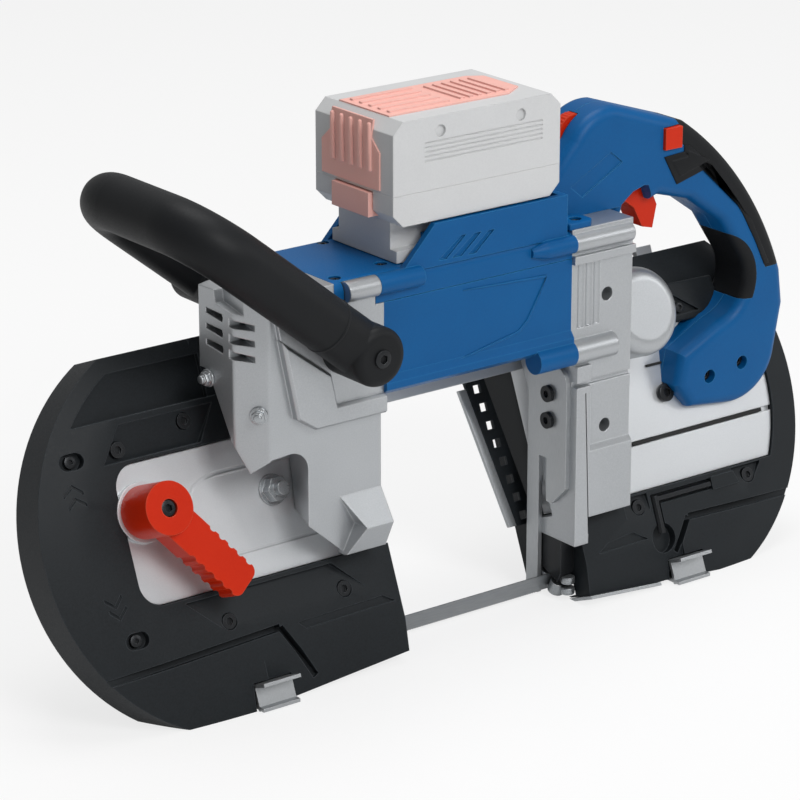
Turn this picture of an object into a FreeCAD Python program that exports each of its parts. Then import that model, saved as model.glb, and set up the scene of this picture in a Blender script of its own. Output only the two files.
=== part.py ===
import FreeCAD
import Part
import math
import os

# Cordless portable band saw. X runs along the saw (+X the drive end), -Y is the motor side, +Z is up.
# The wheel deck leans back from the vertical; the saw stands on the flat undersides of its bumpers.
# Deck pieces are drawn in deck measures: x along the saw, u up the deck, n out of it to the motor side.

V = FreeCAD.Vector
overrun = 40.0
small_overrun = 2.0
running_fit = 0.05
slip_gap = 0.4
seam_gap = 0.3

# Deck and wheels
deck_lean = 22.0
wheel_spacing = 328.0
housing_inset = 18.0
wheel_ground = 22.5
wheel_depth = 30.0
wheel_radius = 77.0
wheel_width = 14.0
tyre_thickness = 3.0
rim_thickness = 6.0
web_thickness = 5.0
hub_radius = 19.0
spoke_hole_radius = 15.0
spoke_hole_count = 6
axle_radius = 6.0
bearing_radius = 14.0
plate_depth = 8.0
plate_thickness = 5.0
plate_margin = 35.0
plate_low = 16.0
bridge_drop = 26.5
bridge_crown = 28.5
bridge_flange = 4.0
bridge_back = 47.0
panel_sink = 3.0
panel_corner = 14.0
front_panel_reach = 67.0
front_panel_low = 73.0
front_panel_high = 152.0
rear_panel_margin = 20.0
rear_panel_low = 61.0
rear_panel_high = 178.0
pocket_left = -176.0
pocket_right = -65.0
pocket_low = 89.0
pocket_high = 133.5
pocket_corner = 10.0
pocket_depth = 1.0
panel_groove_rise = 88.0
panel_groove_width = 3.0
panel_groove_depth = 2.0
throat_front = -56.0
throat_rear = 80.0
throat_wall = 5.0
rear_wall_thickness = 4.0

# Bumpers
guard_margin = 42.0
guard_lift = 8.5
front_crown = 35.5
rear_crown = 23.5
bumper_low = 1.0
skirt_depth = 30.0
rim_wall = 6.0
slope_width = 27.0
slope_drop = 5.0
ridge_lift = 1.5
recess_depth = 4.5
rim_band = 9.0
rim_band_sink = 1.5
front_bumper_stop = -110.0
rear_bumper_stop = 112.0
ridge_rib_x = -146.0
ridge_rib_width = 10.0
window_gap = 0.5
throat_foot_rise = 9.0
throat_foot_run = 120.0
band_groove_width = 4.0
band_groove_depth = 1.0
front_groove_bend_x = -140.0
front_groove_bend_rise = 43.0
front_groove_end_x = -122.0
front_groove_end_rise = 11.0
front_groove_start_rise = 37.5
rear_groove_bend_x = 164.0
rear_groove_bend_rise = 38.5
rear_groove_end_x = 149.5
rear_groove_end_rise = 20.0
rear_groove_start_rise = 35.0
latch_notch_gap = 1.0

# Wheel covers, hinges and latches
cover_margin = 35.0
cover_taper = 13.0
cover_depth = 62.0
cover_wall = 3.0
cover_low = 12.0
cover_crown = 19.5
cover_gap = 0.4
hinge_lift = 26.5
hinge_depth = 38.0
hinge_pin_radius = 2.5
hinge_knuckle_radius = 5.0
hinge_length = 90.0
hinge_lug_width = 12.0
hinge_root_lift = 9.5
latch_width = 25.0
latch_thickness = 2.0
latch_lip_rise = 16.0
latch_lip_reach = 9.0
latch_pivot_y = 27.0
latch_pivot_z = 3.6
latch_pin_radius = 1.4
latch_eye_radius = 2.6
latch_clear = 0.8
latch_lug_width = 10.0
latch_lug_reach = 19.0
latch_lug_height = 8.6
front_latch_set = 3.0
rear_latch_set = 1.0

# Blade and guides
blade_width = 12.7
blade_thickness = 0.6
blade_twist = 45.0
twist_inset = 18.0
twist_sections = 7
guide_front_x = -72.0
guide_rear_x = 74.6
guide_length = 10.0
roller_radius = 5.0
roller_width = 8.0
roller_pin_radius = 2.0
roller_gap = 0.3
guide_reach = 9.0
guide_top = 13.0
guide_clear = 0.85
hanger_low = 18.0
hanger_near = 22.0
hanger_far = 50.0
front_hanger_low = 30.0
front_hanger_high = 56.0
front_hanger_depth = 26.0
lower_plate_thickness = 2.0
lower_plate_length = 52.0
lower_plate_depth = 28.0

# Tension mechanism
lever_set = 44.5
lever_rise = 124.5
lever_boss_radius = 15.0
lever_boss_height = 27.0
lever_arm_length = 66.0
lever_arm_width = 21.0
lever_arm_thickness = 14.0
lever_arm_turn = -52.0
lever_arm_lift = 8.0
lever_collar_radius = 17.0
lever_collar_height = 3.0
lever_rib_count = 5
lever_rib_radius = 2.6
lever_screw_radius = 5.0
cam_radius = 13.0
cam_offset = 4.0
cam_width = 5.0
slide_length = 40.0
slide_height = 58.0
slide_flange = 5.0
slide_travel = 8.0
spring_radius = 3.4
spring_wire = 1.0
spring_turns = 4
stud_set = 42.0
stud_rise = 118.6
stud_radius = 4.0
stud_length = 9.0
nut_across = 13.0
nut_height = 6.5
washer_radius = 9.0
washer_height = 1.6

# Gear train
drive_module = 1.75
drive_pinion_teeth = 14
drive_gear_teeth = 70
drive_gear_width = 8.0
bevel_module = 1.4
bevel_pinion_teeth = 10
bevel_gear_teeth = 25
bevel_face = 8.0
lay_module = 1.0
motor_pinion_teeth = 10
lay_gear_teeth = 40
lay_gear_width = 10.0
lay_gear_x = 82.0
shaft_radius = 4.0
small_bearing_radius = 9.0
small_bearing_width = 6.0
tooth_share = 0.42
addendum_share = 0.85
dedendum_share = 1.3
tip_share = 0.62
root_share = 1.35

# Motor body
body_near = 12.0
body_far = 88.0
body_low = 157.0
body_seam = 218.0
body_front = -70.0
body_rear = 66.0
body_corner = 9.0
ledge_rise = 167.0
ledge_height = 8.0
ledge_reach = 3.0
motor_radius = 26.0
stator_front = -46.0
stator_rear = 34.0
rotor_radius = 15.5
rotor_gap = 1.0
fan_radius = 23.0
fan_width = 8.0
fan_blade_count = 11
fan_blade_thickness = 1.2

# Top cover and battery
deck_top = 235.0
top_front = -104.0
top_wall = 3.0
top_rib_radius = 7.0
bay_front = -34.0
bay_rear = 62.0
bay_wall_height = 22.0
bay_wall = 4.0
bay_ramp_length = 24.0
rail_low = 243.5
rail_height = 5.5
rail_inner_half = 24.5
bay_gap = 0.5
pack_front = -62.0
pack_rear = 57.0
pack_width = 72.0
pack_lift = 23.0
pack_height = 60.0
pack_chamfer = 7.0
pack_seam_height = 18.0
pack_foot_rear = 44.0
pack_neck_half = 24.0
pack_flange_half = 30.0
pack_flange_height = 7.0
pack_wall = 2.5
cell_radius = 10.4
cell_length = 64.0
cell_columns = 5
cell_pitch = 21.2
cell_middle_x = 1.0
pack_button_width = 34.0
pack_button_height = 14.0
pack_button_depth = 8.0
pack_button_proud = 3.0
pack_button_travel = 3.0
pack_button_lift = 3.0
terminal_width = 30.0
terminal_length = 10.0
terminal_gap = 2.0
terminal_height = 9.0

# Brackets
bracket_top = 235.0
front_bracket_front = -146.0
front_bracket_nose = -160.5
front_bracket_tip = -163.0
nose_depth = 16.0
tip_depth = 45.0
bracket_wall = 4.0
front_foot_top = 109.0
front_foot_nose = 91.0
front_foot_low = 74.0
front_foot_reach = 12.0
front_foot_tuck = 4.0
front_foot_top_x = -99.0
front_foot_nose_x = -88.5
front_foot_low_x = -97.5
arch_radius = 12.0
arch_side_x = -121.5
arch_shoulder_rise = 129.5
arch_point_x = -159.0
arch_knee_x = -146.0
arch_knee_rise = 140.5
arch_side_low = 96.0
arch_toe_x = -95.0
arch_toe_rise = 73.0
arch_skew_share = 0.38
bracket_edge_radius = 8.0
louvre_count = 3
louvre_height = 3.0
louvre_pitch = 9.0
louvre_top = 217.0
louvre_near = 18.5
louvre_far = 51.0
louvre_bar_near = 31.5
louvre_bar_far = 37.0
louvre_floor = -151.5
louvre_turn = 10.0
web_set_back = 3.0
block_top_x = -145.5
block_bend_x = -130.5
block_bend_rise = 162.0
block_toe_x = -118.5
block_low = 154.0
band_reach = 3.0
band_top_x = -140.5
band_top_rise = 209.0
band_inner_x = -103.5
band_inner_rise = 165.5
band_notch_x = -107.5
band_notch_rise = 184.0
band_round = 1.5
crest_low_near = 223.5
crest_low_far = 227.5
crest_near = 23.5
crest_far = 43.0
crest_flare = 7.0
crest_depth = 4.5
leg_top_x = -198.0
leg_top_rise = 188.0
leg_knee_x = -178.0
leg_knee_rise = 151.0
leg_tip_x = -163.5
leg_tip_rise = 132.0
leg_skew_share = 0.93
post_front = 66.0
post_rear = 112.0
post_low = 56.6
column_front = 69.0
column_low = 40.0
column_far = 50.0
column_gap = 0.5
post_near = 12.0
post_head_low = 152.0
post_step_rise = 98.0
post_step = 3.0
post_groove_rise = 139.0
post_groove_width = 3.0
post_groove_depth = 2.0
post_hole_radius = 4.2
post_hole_depth = 14.0
post_hole_low = 111.0
post_hole_high = 192.0
post_hole_x = 93.0
head_flange_low = 214.5
head_flange_high = 219.5
head_flange_reach = 3.0
flute_count = 3
flute_radius = 3.0
gear_dome_radius = 27.0
gear_dome_top = 40.0
gear_dome_round = 9.0
gear_dome_wall = 3.0

# Tie tubes along the near edges of the motor body
front_tie_rise = 229.0
front_tie_radius = 6.0
front_tie_front = -97.0
front_tie_split = -76.0
front_tie_rear = -45.0
rear_tie_rise = 227.0
rear_tie_radius = 5.5
rear_tie_front = 35.0
rear_tie_taper = 11.0
rear_tie_rear = 109.5
low_tie_rise = 161.0
low_tie_radius = 7.5
low_tie_front = 38.0
low_tie_rear = 97.0

# Rear handle
body_mid = 50.0
handle_half_width = 17.0
handle_round = 7.0
handle_split_gap = 0.2
neck_front = 62.3
handle_span = 200.0
handle_drop = 143.0
neck_shoulder_shares = (0.0085, 0.83)
neck_brow_shares = (0.1135, 0.94)
neck_crown_shares = (0.1735, 1)
handle_crown_shares = (0.2735, 1.02)
grip_start_shares = (0.5485, 0.93)
grip_bulge_shares = (0.8185, 0.6675)
grip_end_shares = (0.9585, 0.4)
heel_top_shares = (0.9735, 0.29)
heel_low_shares = (0.9435, 0.13)
heel_bend_shares = (0.8885, 0.04)
foot_low_shares = (0.7635, 0)
foot_front_shares = (0.5985, 0.02)
foot_top_shares = (0.5385, 0.1)
foot_knee_shares = (0.5585, 0.2)
gap_floor_shares = (0.7085, 0.275)
gap_bend_shares = (0.7985, 0.34)
gap_back_shares = (0.7885, 0.47)
gap_rise_shares = (0.7035, 0.595)
gap_top_shares = (0.5735, 0.685)
neck_under_shares = (0.4485, 0.72)
neck_low_shares = (0.2885, 0.665)
neck_rear = 114.0
grip_outer_depth = 13.0
grip_outer_left = 166.0
grip_outer_low = 176.0
grip_inner_depth = 7.0
grip_inner_left = 188.0
grip_inner_low = 158.0
trigger_front = 127.0
trigger_low = 214.0
trigger_length = 30.0
trigger_height = 33.0
trigger_shares = ((0.000, 1.000), (0.767, 0.879), (1.000, 0.424), (0.900, 0.000),
                   (0.633, 0.061), (0.400, 0.455), (0.033, 0.697))
trigger_pocket_top = 249.0
switch_front = 116.0
switch_rear = 150.0
switch_top = 273.0
switch_width = 18.0
lock_front = 153.0
lock_rear = 166.0
lock_low = 264.0
lock_top = 277.0
lock_proud = 2.0
lock_gap = 0.4
dial_x = 95.0
dial_z = 281.0
dial_axle_radius = 2.0
dial_axle_reach = 10.0
dial_gap = 0.5
trigger_width = 15.0
trigger_travel = 7.0
trigger_gap = 0.5
dial_radius = 11.0
dial_width = 7.0

# Front bail handle
bail_pivot_x = -96.0
bail_pivot_z = 199.0
bail_corner_x = -201.0
bail_corner_z = 283.0
bail_radius = 16.0
bail_bend = 30.0
bail_gap = 0.5
bail_far_share = 0.25
bail_lug_radius = 9.0
bail_boss_radius = 17.0
bail_boss_round = 5.0

# Work stop, guards and stored key
stop_thickness = 3.0
stop_near = 15.0
stop_slot_near = 32.5
stop_slot_far = 39.5
stop_far = 50.0
stop_top = 150.0
stop_low = 2.0
stop_near_low = 63.0
stop_slot_top = 90.0
stop_chamfer = 12.0
stop_screw_radius = 5.0
stop_screw_height = 2.5
stop_screw_shares = (0.8733, 0.7633)
stop_screw_y = 31.0
guard_strip_width = 15.0
guard_strip_top_x = 50.0
guard_strip_low_x = 64.0
guard_strip_low = 58.0
guard_strip_thickness = 2.0
guard_strip_depth = 40.0
guard_hole_count = 8
guard_hole_size = 5.0
key_across = 4.0
key_rise = 54.0
key_set = 13.0
key_long_length = 44.0
key_short_length = 21.0
key_channel = 3.3
key_sink = 0.6
key_pocket_radius = 9.0
key_pocket_rise = 30.0
key_pocket_depth = 6.0
key_clip_gap = 1.0
key_clip_length = 24.0
key_clip_height = 8.0
key_clip_reach = 1.5

# Fasteners
screw_radius = 4.5
screw_height = 3.0
screw_socket = 2.2
screw_socket_depth = 1.6
screw_sink = 0.5
front_screw_shares = ((0.5294, -0.4538), (-0.1345, -0.4538), (-0.5084, 0.4454), (-0.1261, 0.5042))
rear_screw_shares = ((-0.2227, -0.4706), (0.5294, -0.4622))

wheel_rise = wheel_radius + wheel_ground
wheel_top = wheel_rise + wheel_radius
plate_radius = wheel_radius + plate_margin
cover_radius = wheel_radius + cover_margin
guard_radius = wheel_radius + guard_margin
guard_rise = wheel_rise + guard_lift
rear_panel_radius = wheel_radius + rear_panel_margin
bridge_low = wheel_top - bridge_drop
bridge_high = wheel_top + bridge_crown
front_top = wheel_top + front_crown
rear_top = wheel_top + rear_crown
rear_plate_high = rear_top - rim_wall - window_gap
ridge_rise = wheel_top + ridge_lift
cover_top = wheel_top + cover_crown
hinge_rise = wheel_top + hinge_lift
hinge_root_low = wheel_top + hinge_root_lift
twist_start = wheel_spacing / 2 - twist_inset
handle_low = deck_top - handle_drop
deck_turn = FreeCAD.Placement(V(0, 0, 0), FreeCAD.Rotation(V(1, 0, 0), 90 - deck_lean))
front_wheel_x = -wheel_spacing / 2
rear_wheel_x = wheel_spacing / 2
guard_rear_x = (wheel_spacing - housing_inset) / 2
guard_front_x = -guard_rear_x
lever_x = front_wheel_x - lever_set
stud_x = front_wheel_x + stud_set
front_panel_left = guard_front_x - front_panel_reach
front_latch_x = guard_front_x + front_latch_set
rear_latch_x = guard_rear_x + rear_latch_set
key_corner_x = guard_rear_x - key_set
bay_wall_top = deck_top + bay_wall_height
pack_low = deck_top + pack_lift
pack_top = pack_low + pack_height
pack_seam = pack_low + pack_seam_height
pack_button_rise = pack_low + pack_button_lift
pieces = {}


def box(x0, x1, y0, y1, z0, z1):
    return Part.makeBox(x1 - x0, y1 - y0, z1 - z0, V(x0, y0, z0))


def rod(radius, start, end):
    return Part.makeCylinder(radius, (end - start).Length, start, end - start)


def cone(radius_start, radius_end, start, end):
    return Part.makeCone(radius_start, radius_end, (end - start).Length, start, end - start)


def tube(outer, inner, start, end):
    return rod(outer, start, end).cut(rod(inner, start, end))


def prism(points, sweep):
    return Part.Face(Part.makePolygon(points + [points[0]])).extrude(sweep)


def prism_x(points, x0, x1):
    return prism([V(x0, y, z) for y, z in points], V(x1 - x0, 0, 0))


def prism_y(points, y0, y1):
    return prism([V(x, y0, z) for x, z in points], V(0, y1 - y0, 0))


def prism_z(points, z0, z1):
    return prism([V(x, y, z0) for x, y in points], V(0, 0, z1 - z0))


def straight_edges(shape, direction, test=None):
    chosen = []
    for edge in shape.Edges:
        if edge.Curve.TypeId != "Part::GeomLine":
            continue
        along = (edge.Vertexes[-1].Point - edge.Vertexes[0].Point).normalize()
        if abs(along.dot(direction)) > 0.999 and (test is None or test(edge.CenterOfMass)):
            chosen.append(edge)
    return chosen


def rounded(shape, radius, direction, test=None):
    return shape.makeFillet(radius, straight_edges(shape, direction, test))


def fused(shapes):
    return shapes[0].multiFuse(shapes[1:]).removeSplitter()


def on_deck(shape):
    return shape.transformed(deck_turn.toMatrix())


def deck_measure(point):
    return deck_turn.inverse().multVec(point)


def above_ground(shape):
    reach = overrun + wheel_spacing + guard_radius
    return shape.common(box(-reach, reach, -reach, reach, 0, 2 * reach))


def outer_half(center_x, end_x, radius):
    # the region beyond the wheel centre, away from the throat
    reach = math.copysign(radius + overrun, center_x - end_x)
    return box(min(center_x, center_x + reach), max(center_x, center_x + reach),
               guard_rise - radius - overrun, guard_rise + radius + overrun, -guard_radius, guard_radius)


def housing_outline(center_x, end_x, radius, low, high, near, back):
    # round-ended slab of a wheel housing, flat at the top and square at the throat
    disc = rod(radius, V(center_x, guard_rise, back), V(center_x, guard_rise, near))
    disc = disc.common(outer_half(center_x, end_x, radius))
    side = box(min(center_x, end_x), max(center_x, end_x), low, high, back, near)
    cap = box(center_x - radius - overrun, center_x + radius + overrun, high, high + radius, back, near)
    return disc.cut(cap).fuse(side).removeSplitter()


def sloped_block(center_x, end_x, high):
    # the bumper's near block: its face falls away towards the rim
    disc = rod(guard_radius, V(center_x, guard_rise, -plate_depth), V(center_x, guard_rise, -slope_drop))
    crown = cone(guard_radius, guard_radius - slope_width,
                 V(center_x, guard_rise, -slope_drop), V(center_x, guard_rise, 0))
    profile = [(bumper_low, -plate_depth), (bumper_low, -slope_drop), (bumper_low + slope_width, 0),
               (high, 0), (high, -plate_depth)]
    side = prism_x(profile, min(center_x, end_x), max(center_x, end_x))
    cap = box(center_x - guard_radius - overrun, center_x + guard_radius + overrun,
              high, high + guard_radius, -plate_depth, overrun)
    round_end = disc.fuse(crown).common(outer_half(center_x, end_x, guard_radius)).cut(cap)
    return fused([round_end, side])


def skirt(center_x, end_x, high):
    outer = housing_outline(center_x, end_x, guard_radius, bumper_low, high, -plate_depth, -skirt_depth)
    inward = math.copysign(rim_wall, center_x - end_x)
    inner = housing_outline(center_x, end_x + inward, guard_radius - rim_wall, bumper_low + rim_wall,
                            high - rim_wall, -plate_depth, -skirt_depth)
    return outer.cut(inner)


def socket_screw(x, u, n, radius=screw_radius):
    head = rod(radius, V(x, u, n), V(x, u, n + screw_height))
    socket = rod(screw_socket, V(x, u, n + screw_height - screw_socket_depth), V(x, u, n + screw_height))
    return head.cut(socket)


def blade_exit(x0, x1):
    half = blade_width
    middle = wheel_rise - wheel_radius
    return box(x0, x1, middle - half, middle + half, -wheel_depth - half, -wheel_depth + half)


# Deck casting
def front_panel(grow, near):
    pad = box(front_panel_left - grow, throat_front - throat_wall, front_panel_low - grow,
              front_panel_high + grow,
              -plate_depth, near)
    return rounded(pad, panel_corner, V(0, 0, 1), lambda c: c.x < guard_front_x)


def rear_panel(grow, near):
    radius = rear_panel_radius + grow
    low = rear_panel_low - grow
    high = rear_panel_high + grow
    disc = rod(radius, V(guard_rear_x, guard_rise, -plate_depth), V(guard_rear_x, guard_rise, near))
    band = box(guard_rear_x, guard_rear_x + 2 * radius, low, high, -plate_depth, near)
    side = box(throat_rear, guard_rear_x, low, high, -plate_depth, near)
    return disc.common(band).fuse(side).removeSplitter()


plate_back = -plate_depth - plate_thickness
wheel_near = -wheel_depth + wheel_width / 2
wheel_back = -wheel_depth - wheel_width / 2
motor_axis = V(0, body_mid, (body_low + body_seam) / 2)
motor_deck = deck_measure(motor_axis)
lay_distance = lay_module * (motor_pinion_teeth + lay_gear_teeth) / 2
lay_rise = motor_deck.y - lay_distance
lay_out = motor_deck.z
drive_distance = drive_module * (drive_pinion_teeth + drive_gear_teeth) / 2
cross_x = rear_wheel_x - math.sqrt(drive_distance ** 2 - (lay_rise - wheel_rise) ** 2)
bevel_gear_radius = bevel_module * bevel_gear_teeth / 2
bevel_pinion_radius = bevel_module * bevel_pinion_teeth / 2


def make_deck_frame():
    front = housing_outline(guard_front_x, throat_front - rim_wall - seam_gap, plate_radius, plate_low,
                            bridge_high,
                            -plate_depth, plate_back)
    rear = housing_outline(guard_rear_x, throat_rear + rim_wall + seam_gap, plate_radius, plate_low,
                           rear_plate_high,
                           -plate_depth, plate_back)
    bridge = box(guard_front_x, rear_bumper_stop - seam_gap, bridge_low, bridge_high, plate_back,
                 -plate_depth)
    top_flange = box(throat_front, throat_rear, bridge_high - bridge_flange, bridge_high, -bridge_back,
                     plate_back)
    low_flange = box(throat_front, throat_rear, bridge_low, bridge_low + bridge_flange, -bridge_back,
                     plate_back)
    front_wall = box(throat_front - throat_wall, throat_front, front_panel_low + seam_gap,
                     bridge_low + bridge_flange,
                     -skirt_depth, -panel_sink)
    rear_wall = box(throat_rear, throat_rear + rear_wall_thickness, rear_panel_low + seam_gap,
                    bridge_low + bridge_flange,
                    -skirt_depth, -panel_sink)
    boss = rod(bearing_radius + bridge_flange, V(rear_wheel_x, wheel_rise, plate_back),
               V(rear_wheel_x, wheel_rise, -panel_sink))
    collar = rod(lever_collar_radius, V(lever_x, lever_rise, -panel_sink),
                 V(lever_x, lever_rise, -panel_sink + lever_collar_height))
    lugs = []
    for wheel_x in (guard_front_x, guard_rear_x):
        for side in (-1, 1):
            middle = wheel_x + side * (hinge_length / 2 - hinge_lug_width)
            arm = box(middle - hinge_lug_width / 2, middle + hinge_lug_width / 2,
                      bridge_high - bridge_flange, bridge_high, -hinge_depth, plate_back)
            eye = rod(hinge_knuckle_radius, V(middle - hinge_lug_width / 2, hinge_rise, -hinge_depth),
                      V(middle + hinge_lug_width / 2, hinge_rise, -hinge_depth))
            root = box(middle - hinge_lug_width / 2, middle + hinge_lug_width / 2, hinge_root_low,
                       bridge_high,
                       plate_back - bridge_flange, plate_back)
            lugs.append(root)
            lugs.append(arm)
            lugs.append(eye)
    frame = fused([front, rear, bridge, top_flange, low_flange, front_wall, rear_wall, boss, collar,
                   front_panel(0, -panel_sink), rear_panel(0, -panel_sink)] + lugs)
    for wheel_x in (guard_front_x, guard_rear_x):
        frame = frame.cut(rod(hinge_pin_radius, V(wheel_x - hinge_length, hinge_rise, -hinge_depth),
                              V(wheel_x + hinge_length, hinge_rise, -hinge_depth)))
    slot = box(front_wheel_x - slide_length / 2 - slip_gap,
               front_wheel_x + slide_length / 2 + slide_travel + slip_gap,
               wheel_rise - slide_height / 2 - slip_gap, wheel_rise + slide_height / 2 + slip_gap,
               plate_back, -plate_depth)
    lever_hole = rod(axle_radius + running_fit, V(lever_x, lever_rise, plate_back),
                     V(lever_x, lever_rise, overrun))
    stud_hole = rod(stud_radius, V(stud_x, stud_rise, plate_back), V(stud_x, stud_rise, overrun))
    bearing_hole = rod(bearing_radius, V(rear_wheel_x, wheel_rise, plate_back),
                       V(rear_wheel_x, wheel_rise, -panel_sink - bridge_flange / 2))
    cross_hole = rod(small_bearing_radius, V(cross_x, lay_rise, plate_back), V(cross_x, lay_rise, overrun))
    groove = box(throat_rear + throat_wall, guard_rear_x + rear_panel_radius + overrun, panel_groove_rise,
                 panel_groove_rise + panel_groove_width, -panel_sink - panel_groove_depth, 0)
    below = box(-2 * wheel_spacing, 2 * wheel_spacing, -guard_radius, plate_low, -guard_radius, overrun)
    pocket = box(pocket_left, pocket_right, pocket_low, pocket_high, -panel_sink - pocket_depth,
                 -panel_sink)
    pocket = rounded(pocket, pocket_corner, V(0, 0, 1))
    openings = fused([slot, lever_hole, stud_hole, bearing_hole, cross_hole, groove, below])
    return frame.cut(openings).cut(pocket)


pieces["deck_frame"] = above_ground(on_deck(make_deck_frame()))


# Bumpers
def groove_run(x0, u0, x1, u1):
    # one straight run of a bumper's parting groove
    along = V(x1 - x0, u1 - u0, 0).normalize()
    across = V(-along.y, along.x, 0) * (band_groove_width / 2)
    start = V(x0, u0, -slope_drop - band_groove_depth)
    end = V(x1, u1, -slope_drop - band_groove_depth)
    return prism([start + across, start - across, end - across, end + across], V(0, 0, overrun))


def screw_places(center_x, shares):
    places = []
    for along, up in shares:
        places.append((center_x + guard_radius * along, guard_rise + guard_radius * up))
    return places


front_screws = screw_places(guard_front_x, front_screw_shares)
rear_screws = screw_places(guard_rear_x, rear_screw_shares)


def screw_seat(x, u):
    return rod(screw_radius + slip_gap, V(x, u, -screw_height - screw_sink), V(x, u, overrun))


def latch_notch(x):
    # channel for a cover latch, down the near face and back under the bumper
    half = latch_width / 2 + latch_notch_gap
    sink = latch_thickness + latch_clear + latch_notch_gap
    face = on_deck(box(x - half, x + half, -overrun, latch_lip_rise + latch_notch_gap, -sink, overrun))
    under = box(x - half, x + half, -overrun, latch_pivot_y + latch_eye_radius + latch_notch_gap, -overrun,
                latch_pivot_z + latch_eye_radius + latch_notch_gap)
    pin = rod(latch_pin_radius, V(x - half - latch_lug_width, latch_pivot_y, latch_pivot_z),
              V(x + half + latch_lug_width, latch_pivot_y, latch_pivot_z))
    return face.fuse(under).fuse(pin)


def latch_lugs(x):
    # floor ribs that hold the ends of a latch pin
    inner = latch_width / 2 + latch_notch_gap
    far = latch_pivot_y + latch_eye_radius
    ribs = []
    for start in (x - inner - latch_lug_width, x + inner):
        ribs.append(box(start, start + latch_lug_width, far - latch_lug_reach, far, 0, latch_lug_height))
    return ribs


def throat_foot(end_x, sign):
    # the underside rises towards the throat
    points = [V(end_x + sign * throat_foot_run, 0, -overrun), V(end_x - sign * overrun, 0, -overrun),
              V(end_x - sign * overrun, throat_foot_rise, -overrun), V(end_x, throat_foot_rise, -overrun)]
    return prism(points, V(0, 0, 2 * overrun))


def make_front_bumper():
    body = fused([sloped_block(guard_front_x, throat_front, front_top),
                  skirt(guard_front_x, throat_front, front_top)])
    window = front_panel(window_gap, overrun)
    window = window.fuse(box(throat_front - 2 * throat_wall, throat_front + overrun,
                             front_panel_low - window_gap,
                             front_top + overrun, -skirt_depth, overrun))
    window = window.fuse(rod(lever_collar_radius + window_gap, V(lever_x, lever_rise, -plate_depth),
                             V(lever_x, lever_rise, overrun)))
    bracket_side = box(front_bumper_stop, throat_front + overrun, front_panel_high, front_top + overrun,
                       -skirt_depth, overrun)
    recess = housing_outline(guard_front_x, front_bumper_stop, guard_radius - rim_band, bumper_low,
                             front_top - rim_band, overrun, -recess_depth)
    recess = recess.common(box(guard_front_x - 2 * guard_radius, front_bumper_stop + overrun, ridge_rise,
                               front_top,
                               -recess_depth, overrun))
    recess = recess.cut(box(ridge_rib_x - ridge_rib_width / 2, ridge_rib_x + ridge_rib_width / 2,
                            ridge_rise,
                            front_top, -recess_depth, -rim_band_sink))
    rim_trim = box(guard_front_x - 2 * guard_radius, throat_front + overrun, ridge_rise,
                   front_top + overrun,
                   -rim_band_sink, overrun)
    body = body.cut(fused([window, bracket_side, recess, rim_trim]))
    groove = fused([groove_run(guard_front_x - guard_radius, front_groove_start_rise, front_groove_bend_x,
                               front_groove_bend_rise),
                    groove_run(front_groove_bend_x, front_groove_bend_rise, front_groove_end_x,
                               front_groove_end_rise)])
    body = body.cut(groove).cut(blade_exit(throat_front - overrun, throat_front + overrun))
    body = body.cut(throat_foot(throat_front, -1)).cut(fused([screw_seat(x, u) for x, u in front_screws]))
    body = fused([above_ground(on_deck(body))] + latch_lugs(front_latch_x))
    return body.cut(latch_notch(front_latch_x))


def make_rear_bumper():
    body = fused([sloped_block(guard_rear_x, throat_rear, rear_top),
                  skirt(guard_rear_x, throat_rear, rear_top)])
    window = rear_panel(window_gap, overrun)
    window = window.fuse(box(throat_rear - overrun, throat_rear + 2 * throat_wall,
                             rear_panel_low - window_gap,
                             rear_top + overrun, -skirt_depth, overrun))
    post_side = box(throat_rear - overrun, rear_bumper_stop, rear_panel_high - overrun, rear_top + overrun,
                    -skirt_depth, overrun)
    hinge_side = box(throat_rear, guard_rear_x + hinge_length / 2, rear_top - 2 * rim_wall, rear_top,
                     -skirt_depth,
                     -plate_depth)
    body = body.cut(fused([window, post_side, hinge_side]))
    groove = fused([groove_run(guard_rear_x + guard_radius, rear_groove_start_rise, rear_groove_bend_x,
                               rear_groove_bend_rise),
                    groove_run(rear_groove_bend_x, rear_groove_bend_rise, rear_groove_end_x,
                               rear_groove_end_rise)])
    clip_left = key_corner_x + key_long_length + key_clip_gap
    clip = box(clip_left, clip_left + key_clip_length, key_rise - key_clip_height / 2,
               key_rise + key_clip_height / 2,
               -key_channel, key_clip_reach)
    finger = rod(key_pocket_radius, V(key_corner_x, key_pocket_rise, -key_pocket_depth),
                 V(key_corner_x, key_pocket_rise, overrun))
    body = body.cut(groove).cut(blade_exit(throat_rear - overrun, throat_rear + overrun))
    long_channel = box(key_corner_x - key_channel, clip_left, key_rise - key_channel,
                       key_rise + key_channel,
                       -key_channel, overrun)
    short_channel = box(key_corner_x - key_channel, key_corner_x + key_channel,
                        key_rise - key_short_length - key_channel,
                        key_rise + key_channel, -key_channel, overrun)
    seats = [screw_seat(x, u) for x, u in rear_screws]
    body = body.cut(throat_foot(throat_rear, 1)).fuse(clip)
    body = body.cut(fused([long_channel, short_channel, finger] + seats))
    body = fused([above_ground(on_deck(body))] + latch_lugs(rear_latch_x))
    return body.cut(latch_notch(rear_latch_x))


pieces["front_bumper"] = make_front_bumper()
pieces["rear_bumper"] = make_rear_bumper()


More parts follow.
